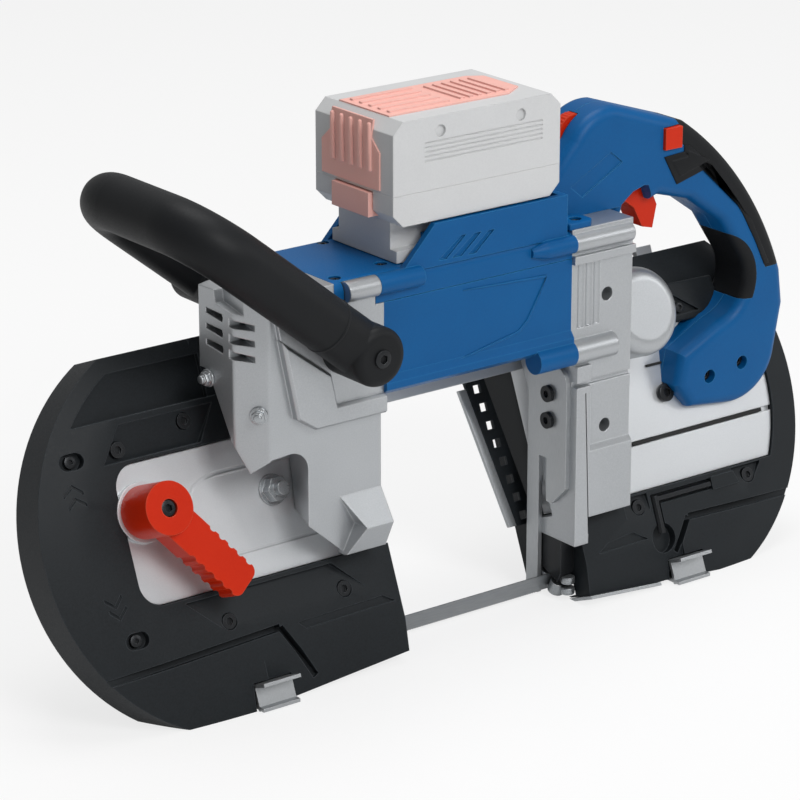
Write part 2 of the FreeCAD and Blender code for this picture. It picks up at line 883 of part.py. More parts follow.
# Cover latches
def make_latch(x):
    half = latch_width / 2
    low = latch_clear
    strip = box(x - half, x + half, -latch_thickness, latch_pivot_y, low, low + latch_thickness)
    face = on_deck(box(x - half, x + half, low, latch_lip_rise, -latch_clear - latch_thickness,
                       -latch_clear))
    lip = on_deck(box(x - half, x + half, latch_lip_rise - latch_thickness, latch_lip_rise,
                      -latch_clear - latch_thickness, latch_lip_reach))
    eye = rod(latch_eye_radius, V(x - half, latch_pivot_y, latch_pivot_z),
              V(x + half, latch_pivot_y, latch_pivot_z))
    bore = rod(latch_pin_radius + running_fit, V(x - half, latch_pivot_y, latch_pivot_z),
               V(x + half, latch_pivot_y, latch_pivot_z))
    return above_ground(fused([strip, face, lip, eye]).cut(bore))


def make_latch_pin(x):
    half = latch_width / 2 + latch_notch_gap + latch_lug_width
    return rod(latch_pin_radius, V(x - half, latch_pivot_y, latch_pivot_z),
               V(x + half, latch_pivot_y, latch_pivot_z))


pieces["front_latch"] = make_latch(front_latch_x)
pieces["rear_latch"] = make_latch(rear_latch_x)
pieces["latch_pins"] = Part.makeCompound([make_latch_pin(front_latch_x), make_latch_pin(rear_latch_x)])


# Wheel covers on the far side, hinged along their top edges
def cover_solid(center_x, end_x, inset, near, back):
    radius = cover_radius - inset
    round_end = cone(radius, radius - cover_taper, V(center_x, guard_rise, near),
                     V(center_x, guard_rise, back))
    round_end = round_end.common(outer_half(center_x, end_x, radius))
    top = cover_top - inset
    low = cover_low + inset
    cap = box(center_x - radius - overrun, center_x + radius + overrun, top, top + radius, back, near)
    profile = [(low, near), (low + cover_taper, back), (top, back), (top, near)]
    side = prism_x(profile, min(center_x, end_x), max(center_x, end_x))
    return fused([round_end.cut(cap), side])


def make_cover(center_x, end_x):
    near = -skirt_depth - cover_gap
    inward = math.copysign(cover_wall, center_x - end_x)
    shell = cover_solid(center_x, end_x, 0, near, -cover_depth)
    hollow = cover_solid(center_x, end_x + inward, cover_wall, near, -cover_depth + cover_wall)
    upper_exit = box(min(center_x, end_x) - overrun, max(center_x, end_x) + overrun,
                     wheel_rise + wheel_radius - blade_width, wheel_rise + wheel_radius + blade_width / 2,
                     -wheel_depth - blade_width, near)
    exit_side = box(min(end_x, end_x + 2 * inward), max(end_x, end_x + 2 * inward), 0, front_top,
                    -cover_depth, near)
    lower_exit = blade_exit(end_x - overrun / 2, end_x + overrun / 2)
    shell = shell.cut(hollow).cut(lower_exit).cut(upper_exit.common(exit_side))
    ground = box(-wheel_spacing, wheel_spacing, -overrun, 2 * guard_radius, -overrun, cover_wall)
    ground = ground.transformed(deck_turn.inverse().toMatrix())
    floor = cover_solid(center_x, end_x, 0, near, -cover_depth).common(ground).cut(lower_exit)
    span = hinge_length / 2 - hinge_lug_width * 3 / 2 - slip_gap
    knuckle = rod(hinge_knuckle_radius, V(center_x - span, hinge_rise, -hinge_depth),
                  V(center_x + span, hinge_rise, -hinge_depth))
    ear = box(center_x - span, center_x + span, cover_top - cover_wall, hinge_rise,
              -hinge_depth - hinge_knuckle_radius,
              -hinge_depth)
    bore = rod(hinge_pin_radius + running_fit, V(center_x - span, hinge_rise, -hinge_depth),
               V(center_x + span, hinge_rise, -hinge_depth))
    return above_ground(on_deck(fused([shell, floor, knuckle, ear]).cut(bore)))


def make_hinge_pin(center_x):
    half = hinge_length / 2 - hinge_lug_width / 2
    return on_deck(rod(hinge_pin_radius, V(center_x - half, hinge_rise, -hinge_depth),
                       V(center_x + half, hinge_rise, -hinge_depth)))


pieces["front_wheel_cover"] = make_cover(guard_front_x, throat_front - seam_gap)
pieces["rear_wheel_cover"] = make_cover(guard_rear_x, throat_rear + seam_gap)
pieces["hinge_pins"] = Part.makeCompound([make_hinge_pin(guard_front_x), make_hinge_pin(guard_rear_x)])


# Band wheels, tyres, axles and bearings
def make_wheel(center_x, bore):
    middle = V(center_x, wheel_rise, -wheel_depth)
    half = V(0, 0, wheel_width / 2)
    half_web = V(0, 0, web_thickness / 2)
    rim_radius = wheel_radius - tyre_thickness
    rim = tube(rim_radius, rim_radius - rim_thickness, middle - half, middle + half)
    web = rod(rim_radius - rim_thickness / 2, middle - half_web, middle + half_web)
    hub = rod(hub_radius, middle - half, middle + half)
    holes = []
    hole_ring = (hub_radius + rim_radius - rim_thickness) / 2
    for index in range(spoke_hole_count):
        angle = 2 * math.pi * index / spoke_hole_count
        place = middle + V(hole_ring * math.cos(angle), hole_ring * math.sin(angle), 0)
        holes.append(rod(spoke_hole_radius, place - half, place + half))
    return on_deck(fused([rim, web, hub]).cut(fused(holes)).cut(rod(bore, middle - half, middle + half)))


def make_tyre(center_x):
    middle = V(center_x, wheel_rise, -wheel_depth)
    half = V(0, 0, wheel_width / 2)
    return on_deck(tube(wheel_radius, wheel_radius - tyre_thickness, middle - half, middle + half))


def ring_set(outer, inner, spans, x, u):
    rings = []
    for low, high in spans:
        rings.append(on_deck(tube(outer, inner, V(x, u, low), V(x, u, high))))
    return Part.makeCompound(rings)


pieces["idler_wheel"] = make_wheel(front_wheel_x, bearing_radius)
pieces["idler_tyre"] = make_tyre(front_wheel_x)
pieces["drive_wheel"] = make_wheel(rear_wheel_x, axle_radius)
pieces["drive_tyre"] = make_tyre(rear_wheel_x)
pieces["idler_bearings"] = ring_set(bearing_radius, axle_radius + running_fit,
                                    [(wheel_back, -wheel_depth - seam_gap),
                                     (-wheel_depth + seam_gap, wheel_near)],
                                    front_wheel_x, wheel_rise)
boss_floor = -panel_sink - bridge_flange / 2
pieces["drive_bearings"] = ring_set(bearing_radius, axle_radius + running_fit,
                                    [(plate_back, (plate_back + boss_floor) / 2 - seam_gap),
                                     ((plate_back + boss_floor) / 2 + seam_gap, boss_floor)],
                                    rear_wheel_x, wheel_rise)


# Tension slide with the idler axle
def make_tension_slide():
    x0 = front_wheel_x - slide_length / 2
    x1 = front_wheel_x + slide_length / 2
    block = box(x0, x1, wheel_rise - slide_height / 2, wheel_rise + slide_height / 2,
                plate_back - slip_gap, -plate_depth - slip_gap)
    flange = box(x0, x1, wheel_rise - slide_height / 2 - slide_flange,
                 wheel_rise + slide_height / 2 + slide_flange,
                 plate_back - slip_gap - slide_flange, plate_back - slip_gap)
    axle = rod(axle_radius, V(front_wheel_x, wheel_rise, wheel_back - slide_flange),
               V(front_wheel_x, wheel_rise, plate_back))
    head = rod(hub_radius / 2, V(front_wheel_x, wheel_rise, wheel_back - slide_flange),
               V(front_wheel_x, wheel_rise, wheel_back - slip_gap))
    return on_deck(fused([block, flange, axle, head]))


pieces["tension_slide"] = make_tension_slide()


# Gears
def gear_points(teeth, module, phase, shrink=0):
    pitch = module * teeth / 2
    tip = pitch + (addendum_share - shrink) * module
    root = pitch - (dedendum_share + shrink) * module
    half = tooth_share * math.pi / teeth
    points = []
    for index in range(teeth):
        middle = phase + 2 * math.pi * index / teeth
        for radius, turn in ((root, -root_share), (pitch, -1), (tip, -tip_share),
                             (tip, tip_share), (pitch, 1), (root, root_share)):
            angle = middle + turn * half
            points.append(V(radius * math.cos(angle), radius * math.sin(angle), 0))
    return points


def spur_gear(teeth, module, phase, width):
    return prism(gear_points(teeth, module, phase), V(0, 0, width))


def bevel(teeth, module, mate_radius, phase):
    # teeth run towards the apex, which lies at the mate's pitch radius above the large end
    pitch = module * teeth / 2
    keep_share = 1 - bevel_face / math.hypot(pitch, mate_radius)
    points = gear_points(teeth, module, phase, addendum_share)
    large = Part.makePolygon(points + [points[0]])
    small_points = [point * keep_share + V(0, 0, mate_radius * (1 - keep_share)) for point in points]
    small = Part.makePolygon(small_points + [small_points[0]])
    return Part.makeLoft([large, small], True, True)


along_x = FreeCAD.Matrix(0, 0, 1, 0, 1, 0, 0, 0, 0, 1, 0, 0, 0, 0, 0, 1)


def on_x_axis(shape, x, u, n):
    # a piece drawn about +Z, turned to lie along the saw at a place on the deck
    turned = shape.transformed(along_x)
    turned.translate(V(x, u, n))
    return turned


pinion_near = plate_back - 2 * slip_gap
pinion_far = pinion_near - drive_gear_width
mate_angle = math.atan2(lay_rise - wheel_rise, cross_x - rear_wheel_x)


def make_drive_shaft():
    shaft = rod(axle_radius, V(rear_wheel_x, wheel_rise, wheel_back - slide_flange),
                V(rear_wheel_x, wheel_rise, boss_floor))
    head = rod(hub_radius / 2, V(rear_wheel_x, wheel_rise, wheel_back - slide_flange),
               V(rear_wheel_x, wheel_rise, wheel_back))
    return on_deck(shaft.fuse(head))


def make_drive_gear():
    gear = spur_gear(drive_gear_teeth, drive_module, mate_angle, drive_gear_width)
    gear.translate(V(rear_wheel_x, wheel_rise, pinion_far))
    collar = rod(hub_radius, V(rear_wheel_x, wheel_rise, wheel_near),
                 V(rear_wheel_x, wheel_rise, pinion_far))
    bore = rod(axle_radius, V(rear_wheel_x, wheel_rise, wheel_near),
               V(rear_wheel_x, wheel_rise, plate_back))
    return on_deck(gear.fuse(collar).cut(bore))


def make_cross_shaft():
    top = lay_out - bevel_pinion_radius
    shaft = rod(shaft_radius, V(cross_x, lay_rise, pinion_far), V(cross_x, lay_rise, top))
    pinion = spur_gear(drive_pinion_teeth, drive_module,
                       mate_angle + math.pi + math.pi / drive_pinion_teeth,
                       drive_gear_width)
    pinion.translate(V(cross_x, lay_rise, pinion_far))
    return on_deck(fused([shaft, pinion]))


def make_bevel_gear():
    gear = bevel(bevel_gear_teeth, bevel_module, bevel_pinion_radius, 0)
    gear.translate(V(cross_x, lay_rise, lay_out - bevel_pinion_radius))
    hub = rod(small_bearing_radius, V(cross_x, lay_rise, lay_out - bevel_pinion_radius - bevel_face),
              V(cross_x, lay_rise, lay_out - bevel_pinion_radius))
    bore = rod(shaft_radius, V(cross_x, lay_rise, lay_out - bevel_pinion_radius - bevel_face),
               V(cross_x, lay_rise, lay_out - bevel_pinion_radius))
    return on_deck(gear.fuse(hub).cut(bore))


def make_layshaft():
    x0 = post_front + small_overrun
    x1 = cross_x - bevel_gear_radius
    shaft = rod(shaft_radius, V(x0, lay_rise, lay_out), V(x1, lay_rise, lay_out))
    pinion = bevel(bevel_pinion_teeth, bevel_module, bevel_gear_radius, 0)
    return on_deck(fused([shaft, on_x_axis(pinion, x1, lay_rise, lay_out)]))


def make_lay_gear():
    gear = spur_gear(lay_gear_teeth, lay_module, 0, lay_gear_width)
    gear = gear.cut(rod(shaft_radius, V(0, 0, 0), V(0, 0, lay_gear_width)))
    return on_deck(on_x_axis(gear, lay_gear_x, lay_rise, lay_out))


pieces["drive_shaft"] = make_drive_shaft()
pieces["drive_gear"] = make_drive_gear()
pieces["cross_shaft"] = make_cross_shaft()
pieces["bevel_gear"] = make_bevel_gear()
pieces["layshaft"] = make_layshaft()
pieces["layshaft_gear"] = make_lay_gear()
half_boss = (plate_back - panel_sink) / 2
lay_bearing_front = post_front + small_overrun
lay_bearing_rear = post_rear - small_bearing_width


def make_small_bearings():
    rings = []
    for low, high in ((plate_back, half_boss - seam_gap), (half_boss + seam_gap, -panel_sink)):
        rings.append(on_deck(tube(small_bearing_radius, shaft_radius + running_fit,
                                  V(cross_x, lay_rise, low),
                                  V(cross_x, lay_rise, high))))
    for x in (lay_bearing_front, lay_bearing_rear):
        rings.append(on_deck(tube(small_bearing_radius, shaft_radius + running_fit, V(x, lay_rise, lay_out),
                                  V(x + small_bearing_width, lay_rise, lay_out))))
    for x in (body_front, body_rear - small_bearing_width):
        rings.append(tube(small_bearing_radius, shaft_radius + running_fit, motor_axis + V(x, 0, 0),
                          motor_axis + V(x + small_bearing_width, 0, 0)))
    return Part.makeCompound(rings)


pieces["small_bearings"] = make_small_bearings()


# Blade: a band round both wheels, twisted towards the upright across the throat
def band_section(x, twist):
    turn = math.radians(twist)
    across = V(0, math.sin(turn), math.cos(turn)) * (blade_width / 2)
    through = V(0, -math.cos(turn), math.sin(turn)) * (blade_thickness / 2)
    middle = V(x, wheel_rise - wheel_radius - running_fit - blade_thickness / 2, -wheel_depth)
    corners = [middle + across + through, middle - across + through, middle - across - through,
               middle + across - through]
    return Part.makePolygon(corners + [corners[0]])


def twisted_run(x0, x1, twist0, twist1):
    sections = []
    for index in range(twist_sections):
        share = index / (twist_sections - 1)
        sections.append(band_section(x0 + (x1 - x0) * share, twist0 + (twist1 - twist0) * share))
    return Part.makeLoft(sections, True, True)


def make_blade():
    inner = wheel_radius + running_fit
    outer = inner + blade_thickness
    near = -wheel_depth + blade_width / 2
    back = -wheel_depth - blade_width / 2
    runs = []
    for wheel_x, away in ((front_wheel_x, throat_rear), (rear_wheel_x, throat_front)):
        ring = tube(outer, inner, V(wheel_x, wheel_rise, back), V(wheel_x, wheel_rise, near))
        runs.append(ring.common(outer_half(wheel_x, away, guard_radius)))
    runs.append(box(front_wheel_x, rear_wheel_x, wheel_rise + inner, wheel_rise + outer, back, near))
    runs.append(Part.makeLoft([band_section(front_wheel_x, 0), band_section(-twist_start, 0)], True, True))
    runs.append(twisted_run(-twist_start, guide_front_x - guide_length / 2, 0, blade_twist))
    runs.append(Part.makeLoft([band_section(guide_front_x - guide_length / 2, blade_twist),
                               band_section(guide_rear_x + guide_length / 2, blade_twist)], True, True))
    runs.append(twisted_run(guide_rear_x + guide_length / 2, twist_start, blade_twist, 0))
    runs.append(Part.makeLoft([band_section(twist_start, 0), band_section(rear_wheel_x, 0)], True, True))
    return on_deck(fused(runs))


pieces["blade"] = make_blade()


# Blade guides: a block above the blade with a roller on each side
guide_middle_rise = wheel_rise - wheel_radius - running_fit - blade_thickness / 2
guide_across = V(0, math.sin(math.radians(blade_twist)), math.cos(math.radians(blade_twist)))
guide_through = V(0, -math.cos(math.radians(blade_twist)), math.sin(math.radians(blade_twist)))
roller_offset = blade_thickness / 2 + roller_gap + roller_radius


def guide_place(x, across, through):
    return V(x, guide_middle_rise, -wheel_depth) + guide_across * across + guide_through * through


def guide_block(x):
    half = guide_length / 2
    low = blade_width / 2 + guide_clear
    corners = [guide_place(x - half, low, -guide_reach), guide_place(x - half, guide_top, -guide_reach),
               guide_place(x - half, guide_top, guide_reach), guide_place(x - half, low, guide_reach)]
    return prism(corners, V(guide_length, 0, 0))


def guide_shoe(x, side):
    half = guide_length / 2
    near = side * (blade_thickness / 2 + roller_gap)
    far = side * guide_reach
    corners = [guide_place(x - half, -roller_width / 2, near), guide_place(x - half, guide_top, near),
               guide_place(x - half, guide_top, far), guide_place(x - half, -roller_width / 2, far)]
    return prism(corners, V(guide_length, 0, 0))


def guide_pin(x, side):
    return rod(roller_pin_radius, guide_place(x, -roller_width / 2, side * roller_offset),
               guide_place(x, guide_top, side * roller_offset))


def make_roller(x, side):
    bottom = guide_place(x, -roller_width / 2, side * roller_offset)
    top = guide_place(x, roller_width / 2, side * roller_offset)
    return on_deck(tube(roller_radius, roller_pin_radius + running_fit, bottom, top))


def make_front_guide():
    half = guide_length / 2
    hanger = box(guide_front_x - half, guide_front_x + half, front_hanger_low, front_hanger_high,
                 -front_hanger_depth, plate_back)
    return on_deck(fused([guide_block(guide_front_x), hanger, guide_shoe(guide_front_x, -1),
                          guide_shoe(guide_front_x, 1)]))


def make_rear_guide():
    half = guide_length / 2
    hanger = box(guide_rear_x - half, guide_rear_x + half, hanger_near, hanger_far, hanger_low, column_low)
    pins = [on_deck(guide_pin(guide_rear_x, side)) for side in (-1, 1)]
    return fused([on_deck(guide_block(guide_rear_x)), hanger] + pins)


def make_lower_plate():
    # wear plate that follows the rising underside of the rear bumper
    slope_share = throat_foot_rise / throat_foot_run
    x0 = throat_rear - small_overrun
    x1 = throat_rear + lower_plate_length
    corners = []
    for x, drop in ((x0, seam_gap), (x1, seam_gap), (x1, seam_gap + lower_plate_thickness),
                    (x0, seam_gap + lower_plate_thickness)):
        corners.append(V(x, throat_foot_rise - (x - throat_rear) * slope_share - drop, -lower_plate_depth))
    return above_ground(on_deck(prism(corners, V(0, 0, lower_plate_depth))))


pieces["front_guide"] = make_front_guide()
pieces["rear_guide"] = make_rear_guide()
pieces["guide_roller_near"] = make_roller(guide_rear_x, 1)
pieces["guide_roller_far"] = make_roller(guide_rear_x, -1)
pieces["lower_guide_plate"] = make_lower_plate()


# Tension lever, cam, spring and stud
def make_lever():
    base = -panel_sink + lever_collar_height + seam_gap
    top = base + lever_boss_height
    middle = V(lever_x, lever_rise, 0)
    boss = rod(lever_boss_radius, middle + V(0, 0, base), middle + V(0, 0, top))
    half = lever_arm_width / 2
    low = base + lever_arm_lift
    arm = box(0, lever_arm_length, -half, half, low, low + lever_arm_thickness)
    arm = rounded(arm, half / 2, V(0, 0, 1), lambda c: c.x > lever_boss_radius)
    grooves = []
    pitch = (lever_arm_length - 2 * lever_boss_radius) / lever_rib_count
    for index in range(lever_rib_count):
        along = 2 * lever_boss_radius + pitch * index
        for side in (-1, 1):
            grooves.append(rod(lever_rib_radius, V(along, side * (half + lever_rib_radius / 2), low),
                               V(along, side * (half + lever_rib_radius / 2), top)))
    arm = arm.cut(fused(grooves))
    arm.rotate(V(0, 0, 0), V(0, 0, 1), lever_arm_turn)
    arm.translate(middle)
    bore = rod(axle_radius, middle + V(0, 0, base), middle + V(0, 0, top - lever_screw_radius))
    recess = rod(lever_screw_radius, middle + V(0, 0, top - lever_screw_radius), middle + V(0, 0, top))
    return on_deck(fused([boss, arm]).cut(bore).cut(recess))


lever_base = -panel_sink + lever_collar_height + seam_gap
lever_screw_top = lever_base + lever_boss_height - lever_screw_radius


def make_lever_cam():
    cam_near = plate_back - slip_gap
    shaft = rod(axle_radius, V(lever_x, lever_rise, cam_near), V(lever_x, lever_rise, lever_screw_top))
    cam = rod(cam_radius, V(lever_x + cam_offset, lever_rise, cam_near - cam_width),
              V(lever_x + cam_offset, lever_rise, cam_near))
    return on_deck(fused([shaft, cam]))


def make_spring():
    # a coil of half-turn arcs between the cam and the slide
    start = lever_x + cam_offset + cam_radius + seam_gap + spring_wire / 2
    end = front_wheel_x - slide_length / 2 - seam_gap - spring_wire / 2
    pitch = (end - start) / spring_turns
    quarters = []
    for index in range(4 * spring_turns + 1):
        angle = math.pi * index / 2
        quarters.append(V(spring_radius * math.cos(angle), spring_radius * math.sin(angle),
                          pitch * index / 4))
    arcs = []
    for index in range(0, 4 * spring_turns, 2):
        arcs.append(Part.Arc(quarters[index], quarters[index + 1], quarters[index + 2]).toShape())
    profile = Part.Wire(Part.makeCircle(spring_wire / 2, quarters[0], V(0, 1, 0)))
    coil = Part.Wire(arcs).makePipeShell([profile], True, False)
    print("spring gap between turns", pitch - spring_wire)
    middle = (plate_back + wheel_near) / 2
    return on_deck(on_x_axis(coil, start, lever_rise, middle))


def hexagon(across, x, u, n0, n1):
    radius = across / math.sqrt(3)
    corners = []
    for index in range(6):
        angle = math.pi * index / 3
        corners.append(V(x + radius * math.cos(angle), u + radius * math.sin(angle), n0))
    return prism(corners, V(0, 0, n1 - n0))


def make_stud_nut():
    base = -panel_sink - pocket_depth
    washer = rod(washer_radius, V(stud_x, stud_rise, base), V(stud_x, stud_rise, base + washer_height))
    nut = hexagon(nut_across, stud_x, stud_rise, base + washer_height, base + washer_height + nut_height)
    bore = rod(stud_radius, V(stud_x, stud_rise, base),
               V(stud_x, stud_rise, base + washer_height + nut_height))
    return on_deck(washer.fuse(nut).cut(bore))


pieces["tension_lever"] = make_lever()
pieces["lever_cam"] = make_lever_cam()
pieces["tension_spring"] = make_spring()
pieces["clamp_stud"] = Part.makeCompound([
    on_deck(rod(stud_radius, V(stud_x, stud_rise, plate_back),
                V(stud_x, stud_rise, stud_length))), make_stud_nut()])


# Front motor bracket
def in_front_of(level):
    reach = wheel_spacing + 2 * guard_radius
    return on_deck(box(-reach, reach, -reach, reach, level, reach))


def nose_plan(inset):
    return [(body_front, body_near + inset), (front_bracket_front + inset / 2, body_near + inset),
            (front_bracket_nose + inset, body_near + nose_depth + inset / 2),
            (front_bracket_tip + inset, body_near + tip_depth), (body_front, body_far)]


def nose_leg_cut():
    # the leg under the nose narrows towards the clamp stud, and runs back to the deck on the skew
    reach = body_far - body_near
    outline = [(leg_top_x, leg_top_rise), (leg_knee_x, leg_knee_rise), (leg_tip_x, leg_tip_rise),
               (leg_tip_x, 0), (leg_top_x - overrun, 0), (leg_top_x - overrun, leg_top_rise)]
    corners = [V(x, body_near, z) for x, z in outline]
    return prism(corners, V(leg_skew_share * reach, reach, 0))


def stud_arch():
    # opening round the clamp stud, drafted so that it widens towards the deck
    reach = body_far - body_near
    center = V(arch_side_x - arch_radius, body_near, arch_shoulder_rise)
    crown = center + V(0, 0, arch_radius)
    turn = center + V(math.sin(math.pi / 4), 0, math.cos(math.pi / 4)) * arch_radius
    side = center + V(arch_radius, 0, 0)
    corners = [side, V(arch_side_x, body_near, arch_side_low), V(arch_toe_x, body_near, arch_toe_rise),
               V(arch_toe_x, body_near, 0), V(arch_point_x, body_near, 0),
               V(arch_point_x, body_near, leg_tip_rise), V(arch_knee_x, body_near, arch_knee_rise), crown]
    edges = [Part.Arc(crown, turn, side).toShape()]
    for start, end in zip(corners, corners[1:]):
        edges.append(Part.makeLine(start, end))
    return Part.Face(Part.Wire(edges)).extrude(V(arch_skew_share * reach, reach, 0))


def nose_cuts():
    # slanted air slots over both faces of the nose, split by a bar, and the pocket in its crest
    cuts = []
    for index in range(louvre_count):
        low = louvre_top - louvre_pitch * index
        for near, far in ((louvre_near, louvre_bar_near), (louvre_bar_far, louvre_far)):
            slot = box(front_bracket_tip - overrun, louvre_floor, near, far, low, low + louvre_height)
            slot.rotate(V(0, louvre_bar_near, low), V(1, 0, 0), louvre_turn)
            cuts.append(slot)
    high = bracket_top + overrun
    crest = [(crest_near, crest_low_near), (crest_far, crest_low_far), (crest_far + crest_flare, high),
             (crest_near - crest_flare / 2, high)]
    cuts.append(prism_x(crest, front_bracket_tip - overrun, front_bracket_nose + crest_depth))
    return fused(cuts)


def near_band():
    # raised band along the lower edges of the near face
    outline = [(band_top_x, band_top_rise), (block_bend_x, block_bend_rise), (block_toe_x, block_low),
               (body_front, block_low), (body_front, band_inner_rise), (band_inner_x, band_inner_rise),
               (band_notch_x, band_notch_rise)]
    band = prism_y(outline, body_near - band_reach, body_near + bracket_wall)
    face = [edge for edge in band.Edges if edge.BoundBox.YMax < body_near]
    return band.makeChamfer(band_round,
                            [edge for edge in face if edge.CenterOfMass.x < body_front - running_fit])


def front_foot():
    # wedge that widens the leg beside the throat
    back = body_near + web_set_back
    profile = [(back, front_foot_top), (back - front_foot_reach, front_foot_nose),
               (back - front_foot_tuck, front_foot_low),
               (back + bracket_wall, front_foot_low), (back + bracket_wall, front_foot_top)]
    outline = [(front_foot_top_x, front_foot_top), (body_front, front_foot_top),
               (body_front, front_foot_low),
               (front_foot_low_x, front_foot_low), (front_foot_nose_x, front_foot_nose)]
    side = prism_y(outline, back - front_foot_reach, back + bracket_wall)
    return prism_x(profile, front_foot_top_x, body_front).common(side)


def front_tie_sleeve(grow):
    start = front_tie_front - seam_gap * grow
    end = front_tie_split + seam_gap * grow
    sleeve = rod(front_tie_radius + seam_gap * grow, V(start, body_near, front_tie_rise),
                 V(end, body_near, front_tie_rise))
    wall = box(start, end, body_near - seam_gap * grow, body_near + bracket_wall + seam_gap * grow,
               body_seam - bracket_wall, front_tie_rise)
    return fused([sleeve, wall])


def make_front_bracket():
    web = nose_plan(0)
    web[0] = (body_front, body_near + web_set_back)
    web[1] = (front_bracket_front, body_near + web_set_back)
    body = prism_z(web, front_foot_low - overrun, bracket_top)
    body = rounded(body, bracket_edge_radius / 2, V(0, 0, 1),
                   lambda c: c.x < body_front and c.y < body_near + overrun)
    block = prism_y([(block_top_x, bracket_top), (block_bend_x, block_bend_rise), (block_toe_x, block_low),
                     (body_front, block_low), (body_front, bracket_top)], body_near, body_mid)
    body = fused([body, block]).common(in_front_of(-panel_sink))
    shelf = box(top_front - seam_gap, body_front + overrun, body_near - overrun, body_far + overrun,
                body_seam,
                bracket_top + overrun)
    below = on_deck(box(front_bracket_tip - overrun, body_front + overrun, -overrun,
                        front_panel_low + seam_gap,
                        -plate_depth, overrun * 3))
    over_bumper = on_deck(box(front_bracket_tip - overrun, front_bumper_stop + seam_gap, front_panel_high,
                              front_top + overrun, -plate_depth, seam_gap))
    over_throat = on_deck(box(throat_front - throat_wall, throat_front + overrun, 0, bridge_low,
                              -plate_depth, 0))
    cavity = prism_z(nose_plan(bracket_wall + web_set_back), ledge_rise, bracket_top - bracket_wall)
    cavity = cavity.common(in_front_of(bracket_wall))
    body = body.cut(shelf).cut(below).cut(over_bumper).cut(over_throat).cut(cavity)
    body = body.cut(nose_leg_cut()).cut(stud_arch()).cut(nose_cuts())
    return fused([body, near_band(), front_foot().cut(below), front_tie_sleeve(0)])


pieces["front_bracket"] = make_front_bracket()


# Rear motor bracket: gear head on a post that carries the work stop and the rear guide
def make_rear_bracket():
    head = box(post_front, post_rear, body_near, body_far, post_head_low, deck_top)
    post = box(column_front, post_rear, post_near, body_far, post_low, post_head_low)
    step = prism_x([(post_near - post_step, post_low), (post_near, post_low),
                    (post_near, post_step_rise + post_step),
                    (post_near - post_step, post_step_rise)], column_front, post_rear)
    leaning = fused([head, post, step]).common(in_front_of(-panel_sink))
    column = box(column_front, throat_rear - column_gap, post_near - post_step, column_far, column_low,
                 post_head_low)
    deck_side = box(column_front - small_overrun, throat_rear, rear_panel_low - seam_gap, front_top,
                    -guard_radius,
                    -plate_depth + seam_gap)
    body = fused([leaning, column.cut(on_deck(deck_side))])
    lay_bore = on_deck(rod(lay_module * (lay_gear_teeth + 4) / 2,
                           V(lay_bearing_front + small_bearing_width, lay_rise, lay_out),
                           V(lay_bearing_rear, lay_rise, lay_out)))
    lay_exit = on_deck(rod(small_bearing_radius, V(post_front, lay_rise, lay_out),
                           V(post_rear, lay_rise, lay_out)))
    motor_bore = rod(small_bearing_radius + bracket_wall, motor_axis + V(post_front, 0, 0),
                     motor_axis + V(post_rear - small_bearing_width, 0, 0))
    groove = box(column_front - small_overrun, post_rear + small_overrun, post_near - post_step,
                 post_near + post_groove_depth, post_groove_rise, post_groove_rise + post_groove_width)
    holes = []
    for rise in (post_hole_low, post_hole_high):
        holes.append(rod(post_hole_radius, V(post_hole_x, post_near - post_step, rise),
                         V(post_hole_x, post_near + post_hole_depth, rise)))
    flutes = []
    for index in range(flute_count):
        x = post_front + bracket_wall + 2 * flute_radius * (index + 1 / 2)
        flutes.append(rod(flute_radius, V(x, body_near - flute_radius / 2, ledge_rise + ledge_height),
                          V(x, body_near - flute_radius / 2, head_flange_low)))
    flange = box(post_front, post_rear, body_near - head_flange_reach, body_near, head_flange_low,
                 head_flange_high)
    high_tie = rod(rear_tie_radius, V(post_front, body_near, rear_tie_rise),
                   V(rear_tie_rear, body_near, rear_tie_rise))
    low_tie = rod(low_tie_radius, V(post_front, body_near, low_tie_rise),
                  V(low_tie_rear, body_near, low_tie_rise))
    body = fused([body, flange, high_tie, low_tie])
    return body.cut(fused([lay_bore, lay_exit, motor_bore, groove] + holes)).cut(fused(flutes))


pieces["rear_bracket"] = make_rear_bracket()


def beside_rear_panel():
    # the layer of the deck that the rear bumper fills round the bright panel
    reach = 2 * guard_radius
    layer = box(guard_rear_x - reach, guard_rear_x + reach, 0, reach, -plate_depth, seam_gap)
    return on_deck(layer.cut(rear_panel(0, overrun)))


def make_gear_dome():
    center = V(cross_x, lay_rise, 0)
    dome = rod(gear_dome_radius, center + V(0, 0, -panel_sink), center + V(0, 0, gear_dome_top))
    circles = [edge for edge in dome.Edges if edge.Curve.TypeId == "Part::GeomCircle"]
    rims = [edge for edge in circles if edge.CenterOfMass.z > 0]
    dome = dome.makeFillet(gear_dome_round, rims)
    hollow = rod(gear_dome_radius - gear_dome_wall, center + V(0, 0, -panel_sink),
                 center + V(0, 0, gear_dome_top - gear_dome_wall))
    entry = rod(small_bearing_radius, V(post_rear, lay_rise, lay_out), V(cross_x, lay_rise, lay_out))
    beyond = box(0, post_rear + seam_gap, 0, 2 * guard_radius, -overrun, 2 * overrun)
    return on_deck(dome.cut(hollow).cut(entry).cut(beyond)).cut(beside_rear_panel())


pieces["gearbox_cover"] = make_gear_dome()


